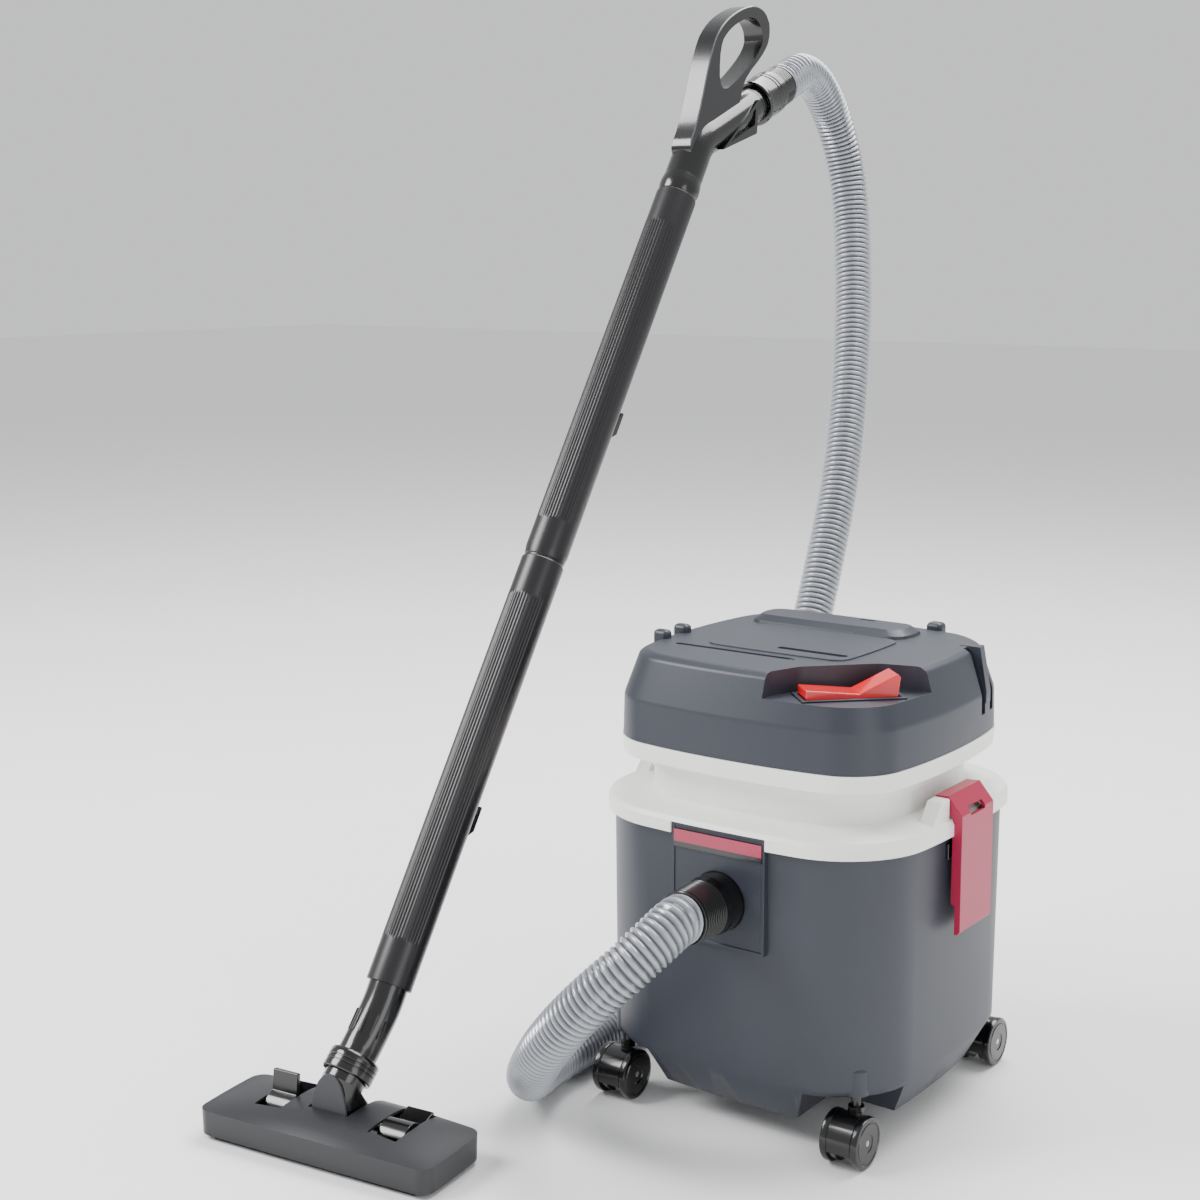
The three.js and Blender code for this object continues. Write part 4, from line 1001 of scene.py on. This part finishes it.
def make_latches():
    for side in ("right", "left"):
        latch, catch = f"latch_{side}", f"latch_catch_{side}"
        recast(latch, f"latch_clip_{side}", latch, "abs_crimson", 1.3, steps=3)
        recast(catch, f"catch_bar_{side}", "canister", "abs_gloss_black", 0.9)
    steel = bare_metal("steel_turned", linear("#c4c7cb"), 0.3, 0.1)
    dress(steel, "latch_pin_right", "latch_pin_left", *[f"caster_{n}_axle" for n in CORNERS])


# ------------------------------------------------------------------ casters
WHEEL_RADIUS, WHEEL_INNER, WHEEL_FLANGE, WHEEL_DRUM = 25, 5, 12.8, 21.5
TREAD_EDGE = 24.2
AXLE_BORE = 3.3
TRAIL = 12


def wheel_profile():
    tread = [(WHEEL_RADIUS, 14.4), (WHEEL_RADIUS, 18.2), (TREAD_EDGE, 19.4)]
    face = [(21.5, 19.9), (20.8, 19.2), (19.4, 19.2), (18.7, 19.9), (9, 20), (8, 19.2), (AXLE_BORE, 19.2)]
    inner = [(AXLE_BORE, WHEEL_INNER), (WHEEL_DRUM, WHEEL_INNER)]
    inner += [(WHEEL_DRUM, WHEEL_FLANGE), (TREAD_EDGE, WHEEL_FLANGE)]
    return inner + tread + face


def make_casters():
    for name, (sx, sy) in CORNERS.items():
        body = f"caster_{name}"
        recast(f"{body}_housing", f"{body}_hood", body, "abs_gloss_black", 0.7)
        for side, sign in (("right", 1), ("left", -1)):
            wheel = turned(wheel_profile(), 56, ring=True)
            place = shift(sx * CASTER_X, sy * (CASTER_Y + TRAIL), WHEEL_RADIUS) @ turn(90 * sign, "Y")
            node_name = f"{body}_wheel_{side}"
            black = finish("abs_gloss_black")
            settle(wheel, f"{node_name}_disc", node_name, black, [node_name], place)


# ------------------------------------------------------------------ wands and handle
WAND_RADIUS, WAND_BORE = 23.25, 21.2
FLUTE_DEPTH = 0.7
PLUG_BORE, PLUG_RADIUS, PLUG_LENGTH = 18.9, 20.9, 35
# Each end's plain length, the tube's facets, how many facets a flute repeats over and how far round they go.
PLAIN_END, PLAIN_SHORT = 46, 42
TUBE_SIDES, FLUTE_EVERY, FLUTE_REACH = 120, 3, 80


def wand_mesh(plugged):
    """A tube with long flutes down its front between plain ends."""
    end = WAND_LENGTH
    foot, bore_foot = [(WAND_RADIUS, 0)], [(WAND_BORE, 0)]
    if plugged:
        foot = [(PLUG_BORE, -PLUG_LENGTH), (PLUG_RADIUS, -PLUG_LENGTH), (PLUG_RADIUS, 2), (21.8, 3)]
        foot.append((WAND_RADIUS, 12))
        bore_foot = [(WAND_BORE, 12), (PLUG_BORE, 4)]
    heights = (PLAIN_SHORT, PLAIN_END, end - PLAIN_END, end - PLAIN_SHORT, end - 1.2)
    profile = foot + [(WAND_RADIUS, z) for z in heights]
    profile += [(WAND_RADIUS - 0.8, end), (WAND_BORE, end), *bore_foot]
    tube = turned(profile, TUBE_SIDES, ring=True)
    step = 2 * math.pi / TUBE_SIDES

    def in_flute(vertex):
        angle = math.atan2(vertex.co.x, -vertex.co.y)
        on_line = PLAIN_END - 0.1 <= vertex.co.z <= end - PLAIN_END + 0.1
        outside = math.hypot(vertex.co.x, vertex.co.y) > WAND_RADIUS - 0.1
        in_front = abs(angle) < math.radians(FLUTE_REACH)
        return on_line and outside and in_front and round(angle / step) % FLUTE_EVERY == 0

    choose(tube, in_flute)
    shrink = 1 - FLUTE_DEPTH / WAND_RADIUS
    scale(shrink, shrink)
    deselect()
    return tube


def make_wands():
    axis = Matrix.Translation(WAND_FOOT) @ Matrix.Rotation(-WAND_LEAN, 4, "X")
    for name, start, plugged in (("lower", 0, False), ("upper", WAND_LENGTH + WAND_GAP, True)):
        tube = wand_mesh(plugged)
        place = axis @ shift(0, 0, start)
        nodes = [f"wand_{name}"]
        settle(tube, f"wand_{name}_tube", "wand", finish("abs_tube"), nodes, place, smooth=20)
        recast(f"wand_hook_{name}", f"parking_hook_{name}", "wand", "abs_gloss_black", 0.9)


HANDLE_RADIUS = 21.8


def handle_route():
    soft = 26
    return [
        WAND_TOP + WAND_UP * 14, WAND_TOP + WAND_UP * 34, BEND - WAND_UP * soft, BEND - WAND_UP * (soft / 3),
        BEND + HANDLE_OUT * (soft / 3), BEND + HANDLE_OUT * soft, BEND + HANDLE_OUT * 80, BEND + HANDLE_OUT * 149,
    ]


def make_handle_tube():
    tube = sweep(handle_route(), HANDLE_RADIUS, 14)
    profile = [
        (18, -PLUG_LENGTH), (PLUG_RADIUS, -PLUG_LENGTH), (PLUG_RADIUS, 1), (HANDLE_RADIUS, 2),
        (WAND_RADIUS, 9), (WAND_RADIUS, 15), (HANDLE_RADIUS, 24), (18, 24),
    ]
    socket = turned(profile, 72, ring=True)
    placed(socket, along(WAND_TOP, WAND_UP))
    band = turned([(21.2, 122), (22.1, 122), (22.1, 127), (21.2, 127)], 72, ring=True)
    placed(band, along(BEND, HANDLE_OUT))
    tube = gather(tube, socket, band)
    settle(tube, "handle_tube_bent", "wand", finish("abs_gloss_black"), ["handle_tube"])


GRIP_LOOP = [
    (-26, -20), (3, 0), (48, 25), (75, 47), (79, 74), (133, 114), (141, 137), (133, 158),
    (104, 164), (71, 155), (38, 138), (14, 112), (-17, 22), (-35, -5),
]
GRIP_HOLE = [(29, 55), (29, 111), (50, 131), (78, 144), (104, 150), (122, 138), (124, 116), (73, 77)]
GRIP_STRUT = [(20, -8), (99, 54), (95, 14)]
GRIP_WINDOW = [(36, 1), (92, 43), (90, 24)]
GRIP_HALF, GRIP_RIDGE = 13, 11
GRIP_LINE = ((-30, -15), (137, 150))


def left_of_grip(y, z):
    """Whether a place beside the bend lies on the front and top side of the loop."""
    (y0, z0), (y1, z1) = GRIP_LINE
    return (y1 - y0) * (z - z0) - (z1 - z0) * (y - y0) > 0


def rounded(points, passes=2):
    """Cuts each corner of a closed line, once for each pass."""
    for _ in range(passes):
        fresh = []
        for (x0, y0), (x1, y1) in zip(points, points[1:] + points[:1]):
            fresh.append((x0 * 0.75 + x1 * 0.25, y0 * 0.75 + y1 * 0.25))
            fresh.append((x0 * 0.25 + x1 * 0.75, y0 * 0.25 + y1 * 0.75))
        points = fresh
    return points


def make_grip():
    """The loop with a ridge along its front, and a strut with a window on each flank of the tube."""
    grip = prism(rounded(GRIP_LOOP), -GRIP_HALF, GRIP_HALF)
    edit(grip)

    def on_front(edge):
        a, b = (v.co for v in edge.verts)
        middle = (a + b) / 2
        flat = abs(a.z - b.z) < 0.1
        return flat and middle.y > 2 and left_of_grip(middle.x, middle.y)

    choose(grip, on_front, "EDGE")
    round_off(GRIP_RIDGE, 1, clamp=True)
    deselect()
    carve(grip, prism(rounded(GRIP_HOLE), -30, 30))
    soften(grip, 1.1, 2, 24)
    struts = []
    for side in (1, -1):
        strut = prism(GRIP_STRUT, side * 15, side * 23.6, 2, 3)
        carve(outward(strut), prism(GRIP_WINDOW, side * 10, side * 30, 1, 2))
        struts.append(soften(strut, 0.6))
    grip = gather(grip, *struts)
    stand = Matrix(((0, 0, 1, 0), (1, 0, 0, 0), (0, 1, 0, 0), (0, 0, 0, 1)))
    place = Matrix.Translation(BEND) @ stand
    settle(grip, "handle_loop", "wand", finish("abs_gloss_black"), ["handle_grip"], place, smooth=24)
    grip.data.materials.append(finish("abs_satin_grey"))
    back = place.inverted() @ TO_ROW.inverted()
    for face in grip.data.polygons:
        spot = back @ face.center
        sloped = 0.3 < abs(face.normal.x) < 0.96
        if sloped and spot.y < 128 and abs(spot.z) < GRIP_HALF and left_of_grip(spot.x, spot.y + 12):
            face.material_index = 1


# ------------------------------------------------------------------ floor head
HEAD_SPOT, HEAD_YAW = Vector((-280, -405, 0)), math.radians(6.56)
HEAD_FRAME = Matrix.Translation(HEAD_SPOT) @ Matrix.Rotation(HEAD_YAW, 4, "Z")
ELBOW_SPOT = Vector((-283, -381, 75))
ELBOW_LEAN = math.radians(45)
ELBOW_UP = Vector((0, math.sin(ELBOW_LEAN), math.cos(ELBOW_LEAN)))


def make_elbow():
    route = [
        ELBOW_SPOT - ELBOW_UP * 1.5, ELBOW_SPOT + ELBOW_UP * 8, ELBOW_SPOT + ELBOW_UP * 20,
        WAND_FOOT - WAND_UP * 22, WAND_FOOT + WAND_UP * 4, WAND_FOOT + WAND_UP * 30,
    ]
    tube = sweep(route, 19.8, 14)
    middle = (ELBOW_SPOT + ELBOW_UP * 20 + WAND_FOOT - WAND_UP * 22) / 2
    ribs = []
    for angle in (-0.75, -0.25, 0.25, 0.75, 1.25):
        rib = block(-1.5, 1.5, -20.4, -18, -11, 11, 0.5, 2)
        ribs.append(placed(rib, turn(-39, "X") @ Matrix.Rotation(angle, 4, "Z")))
        placed(ribs[-1], Matrix.Translation(middle))
    tube = gather(tube, *ribs)
    settle(tube, "elbow_tube_bent", "wand", finish("abs_gloss_black"), ["elbow_tube"])
    profile = [(21.5, -12), (24.4, -12), (25.3, -11)]
    for z in (-8, -3.5, 1):
        profile += [(25.5, z), (25.5, z + 2.6), (24.9, z + 3.1), (24.9, z + 3.9)]
    profile += [(25.5, 6.2), (24.6, 8.2), (23.5, 9), (20.3, 9), (20.3, 1), (21.5, 1)]
    collar = turned(profile, ring=True)
    place = along(ELBOW_SPOT, ELBOW_UP)
    settle(collar, "elbow_collar_ribbed", "wand", finish("abs_gloss_black"), ["elbow_collar"], place)


def make_neck():
    recast("floor_head_neck", "neck_moulding", "neck", "abs_gloss_black", 1.0)
    side = [(21, 33), (20, 44), (17.5, 56), (13.5, 67), (8, 74), (3, 76.6)]
    cheek = prism(side + [(-x, z) for x, z in reversed(side)], -1.5, 1.5)
    soften(cheek, 0.8, 2, 25)
    stand = Matrix(((1, 0, 0, -4), (0, 0, 1, -8.2), (0, 1, 0, 0), (0, 0, 0, 1)))
    foot = shift(0, -8.2, 33)
    tip = foot @ turn(-4, "X") @ foot.inverted()
    settle(cheek, "neck_cheek", "neck", finish("abs_matt_grey"), place=HEAD_FRAME @ tip @ stand)


HEAD_HALF = (134, 47.5)
HEAD_RIM, HEAD_CROWN = 29.5, 42
# The dome's middle and half depth along Y.
DOME_Y, DOME_HALF = 4, 51.5
PEDAL_X, WELL_HALF, WELL_FRONT, WELL_BACK, WELL_LOW = 67, 16, -22, 46, 20


def head_solid(inset, drop, bottom):
    """The head's rounded plan under a shallow dome that falls away to both ends and to the front."""
    x, y = HEAD_HALF[0] - inset - 1, HEAD_HALF[1] - inset - 1
    solid = plan(x, y, 12, 1.2, bottom, round_steps=8, side_steps=6)
    rise((bottom, x, y), [(HEAD_CROWN + 10, x + 1, y + 1)])
    deselect()
    bpy.ops.mesh.primitive_grid_add(x_subdivisions=36, y_subdivisions=16, size=1)
    dome = bpy.context.object
    dome.scale = (290, 110, 1)
    bpy.ops.object.transform_apply(scale=True)
    edit(dome)
    take_all()
    pull(0, 0, 20)
    deselect()
    for vertex in dome.data.vertices:
        if vertex.co.z > 10:
            across = max(1 - abs(vertex.co.x / HEAD_HALF[0]) ** 2, 0)
            along_y = max(1 - abs((vertex.co.y - DOME_Y) / DOME_HALF) ** 3, 0)
            vertex.co.z = HEAD_RIM + (HEAD_CROWN - HEAD_RIM) * across * along_y - drop
        else:
            vertex.co.z = bottom - 1
    return carve(solid, dome, operation="INTERSECT")


def make_floor_head():
    shell = head_solid(0, 0, 5)
    carve(shell, head_solid(2.5, 2.5, 2))
    carve(shell, block(-27.5, 19.5, -10.5, 80, 9.5, 60))
    for side in (-1, 1):
        left = side * PEDAL_X - WELL_HALF
        carve(shell, block(left, left + 2 * WELL_HALF, WELL_FRONT, WELL_BACK, WELL_LOW, 60))
    soften(shell, 0.9, 2, 28)
    nodes, satin = ["floor_head_shell"], finish("abs_satin_charcoal")
    settle(shell, "floor_head_moulding", "floor_head", satin, nodes, HEAD_FRAME)
    dress(finish("abs_gloss_black"), "floor_head_sole")
    dress(finish("rubber_black"), "head_roller_left", "head_roller_right")


def make_pedals():
    for side in ("left", "right"):
        pedal = from_cad(f"pedal_{side}", 0.9)
        edit(pedal)
        wide = max(f.calc_area() for f in bmesh.from_edit_mesh(pedal.data).faces)
        choose(pedal, lambda f: f.calc_area() > wide * 0.98, "FACE")
        bpy.ops.mesh.inset(thickness=0.0025)
        bpy.ops.mesh.inset(thickness=0.0004, depth=-0.0012)
        deselect()
        name = f"pedal_{side}"
        black = finish("abs_gloss_black")
        settle(pedal, f"pedal_tread_{side}", name, black, [name], in_row=True)


TUFTS, TUFT_PITCH = 113, 2.08


def make_brushes():
    """Each strip is a carrier bar with a row of tapering tufts."""
    for name, y in (("front", -40), ("rear", 40)):
        carrier = block(-118, 118, y - 2.5, y + 2.5, 7, 12, 0.4, 1)
        deselect()
        bpy.ops.mesh.primitive_cone_add(vertices=6, radius1=0.75, radius2=1.15, depth=8, location=(-116.5, y, 4))
        tuft = bpy.context.object
        bpy.ops.object.transform_apply(location=True)
        edit(tuft)
        choose(tuft, lambda v: v.co.z < 2)
        move(0, -0.4, 0)
        modify(
            tuft, "ARRAY", count=TUFTS, use_relative_offset=False, use_constant_offset=True,
            constant_offset_displace=(TUFT_PITCH, 0, 0),
        )
        strip = gather(carrier, tuft)
        nodes = [f"brush_strip_{name}"]
        settle(strip, f"bristles_{name}", "brushes", finish("nylon_bristle"), nodes, HEAD_FRAME)


# ------------------------------------------------------------------ operators
class CLEANER_OT_stage(bpy.types.Operator):
    """Adds the camera, the pale floor and the soft lights"""

    bl_idname = "cleaner.stage"
    bl_label = "Stage"

    def execute(self, context):
        make_camera()
        make_stage()
        return {"FINISHED"}


class CLEANER_OT_hose(bpy.types.Operator):
    """Adds the ribbed hose and its two cuffs"""

    bl_idname = "cleaner.hose"
    bl_label = "Hose"

    def execute(self, context):
        cuffs = [make_inlet_cuff(), make_handle_cuff()]
        hose, line = make_hose()
        return {"FINISHED"}


class CLEANER_OT_tank(bpy.types.Operator):
    """Adds the tank and its inlet panel"""

    bl_idname = "cleaner.tank"
    bl_label = "Tank"

    def execute(self, context):
        make_tank()
        make_inlet_plate()
        return {"FINISHED"}


class CLEANER_OT_motor_head(bpy.types.Operator):
    """Adds the cover ring, the motor cover, the switch and the parts under them"""

    bl_idname = "cleaner.motor_head"
    bl_label = "Motor Head"

    def execute(self, context):
        make_cover_ring()
        make_motor_cover()
        make_switch()
        make_insides()
        return {"FINISHED"}


class CLEANER_OT_latches(bpy.types.Operator):
    """Adds the side latches and their catches"""

    bl_idname = "cleaner.latches"
    bl_label = "Latches"

    def execute(self, context):
        make_latches()
        return {"FINISHED"}


class CLEANER_OT_casters(bpy.types.Operator):
    """Adds the twin-wheel casters"""

    bl_idname = "cleaner.casters"
    bl_label = "Casters"

    def execute(self, context):
        make_casters()
        return {"FINISHED"}


class CLEANER_OT_wand(bpy.types.Operator):
    """Adds the two wand tubes, the bent handle, its grip and the elbow"""

    bl_idname = "cleaner.wand"
    bl_label = "Wand and Handle"

    def execute(self, context):
        make_wands()
        make_handle_tube()
        make_grip()
        make_elbow()
        return {"FINISHED"}


class CLEANER_OT_floor_head(bpy.types.Operator):
    """Adds the floor head with its neck, pedals and bristles"""

    bl_idname = "cleaner.floor_head"
    bl_label = "Floor Head"

    def execute(self, context):
        make_neck()
        make_floor_head()
        make_pedals()
        make_brushes()
        return {"FINISHED"}


OPERATORS = (
    CLEANER_OT_stage, CLEANER_OT_hose, CLEANER_OT_tank, CLEANER_OT_motor_head,
    CLEANER_OT_latches, CLEANER_OT_casters, CLEANER_OT_wand, CLEANER_OT_floor_head,
)


class CLEANER_PT_panel(bpy.types.Panel):
    """Lists the cleaner's pieces"""

    bl_idname = "CLEANER_PT_panel"
    bl_label = "Cleaner"
    bl_space_type = "VIEW_3D"
    bl_region_type = "UI"
    bl_category = "Cleaner"

    def draw(self, context):
        for operator in OPERATORS:
            self.layout.operator(operator.bl_idname)


CLASSES = (CleanerColours, CleanerSizes, *OPERATORS, CLEANER_PT_panel)


def register():
    for item in CLASSES:
        bpy.utils.register_class(item)
    bpy.types.Scene.cleaner_colours = bpy.props.PointerProperty(type=CleanerColours)
    bpy.types.Scene.cleaner_sizes = bpy.props.PointerProperty(type=CleanerSizes)


def unregister():
    del bpy.types.Scene.cleaner_sizes
    del bpy.types.Scene.cleaner_colours
    for item in reversed(CLASSES):
        bpy.utils.unregister_class(item)


def main():
    register()
    for operator in OPERATORS:
        group, call = operator.bl_idname.split(".")
        getattr(getattr(bpy.ops, group), call)()
    deselect()


if __name__ == "__main__":
    main()
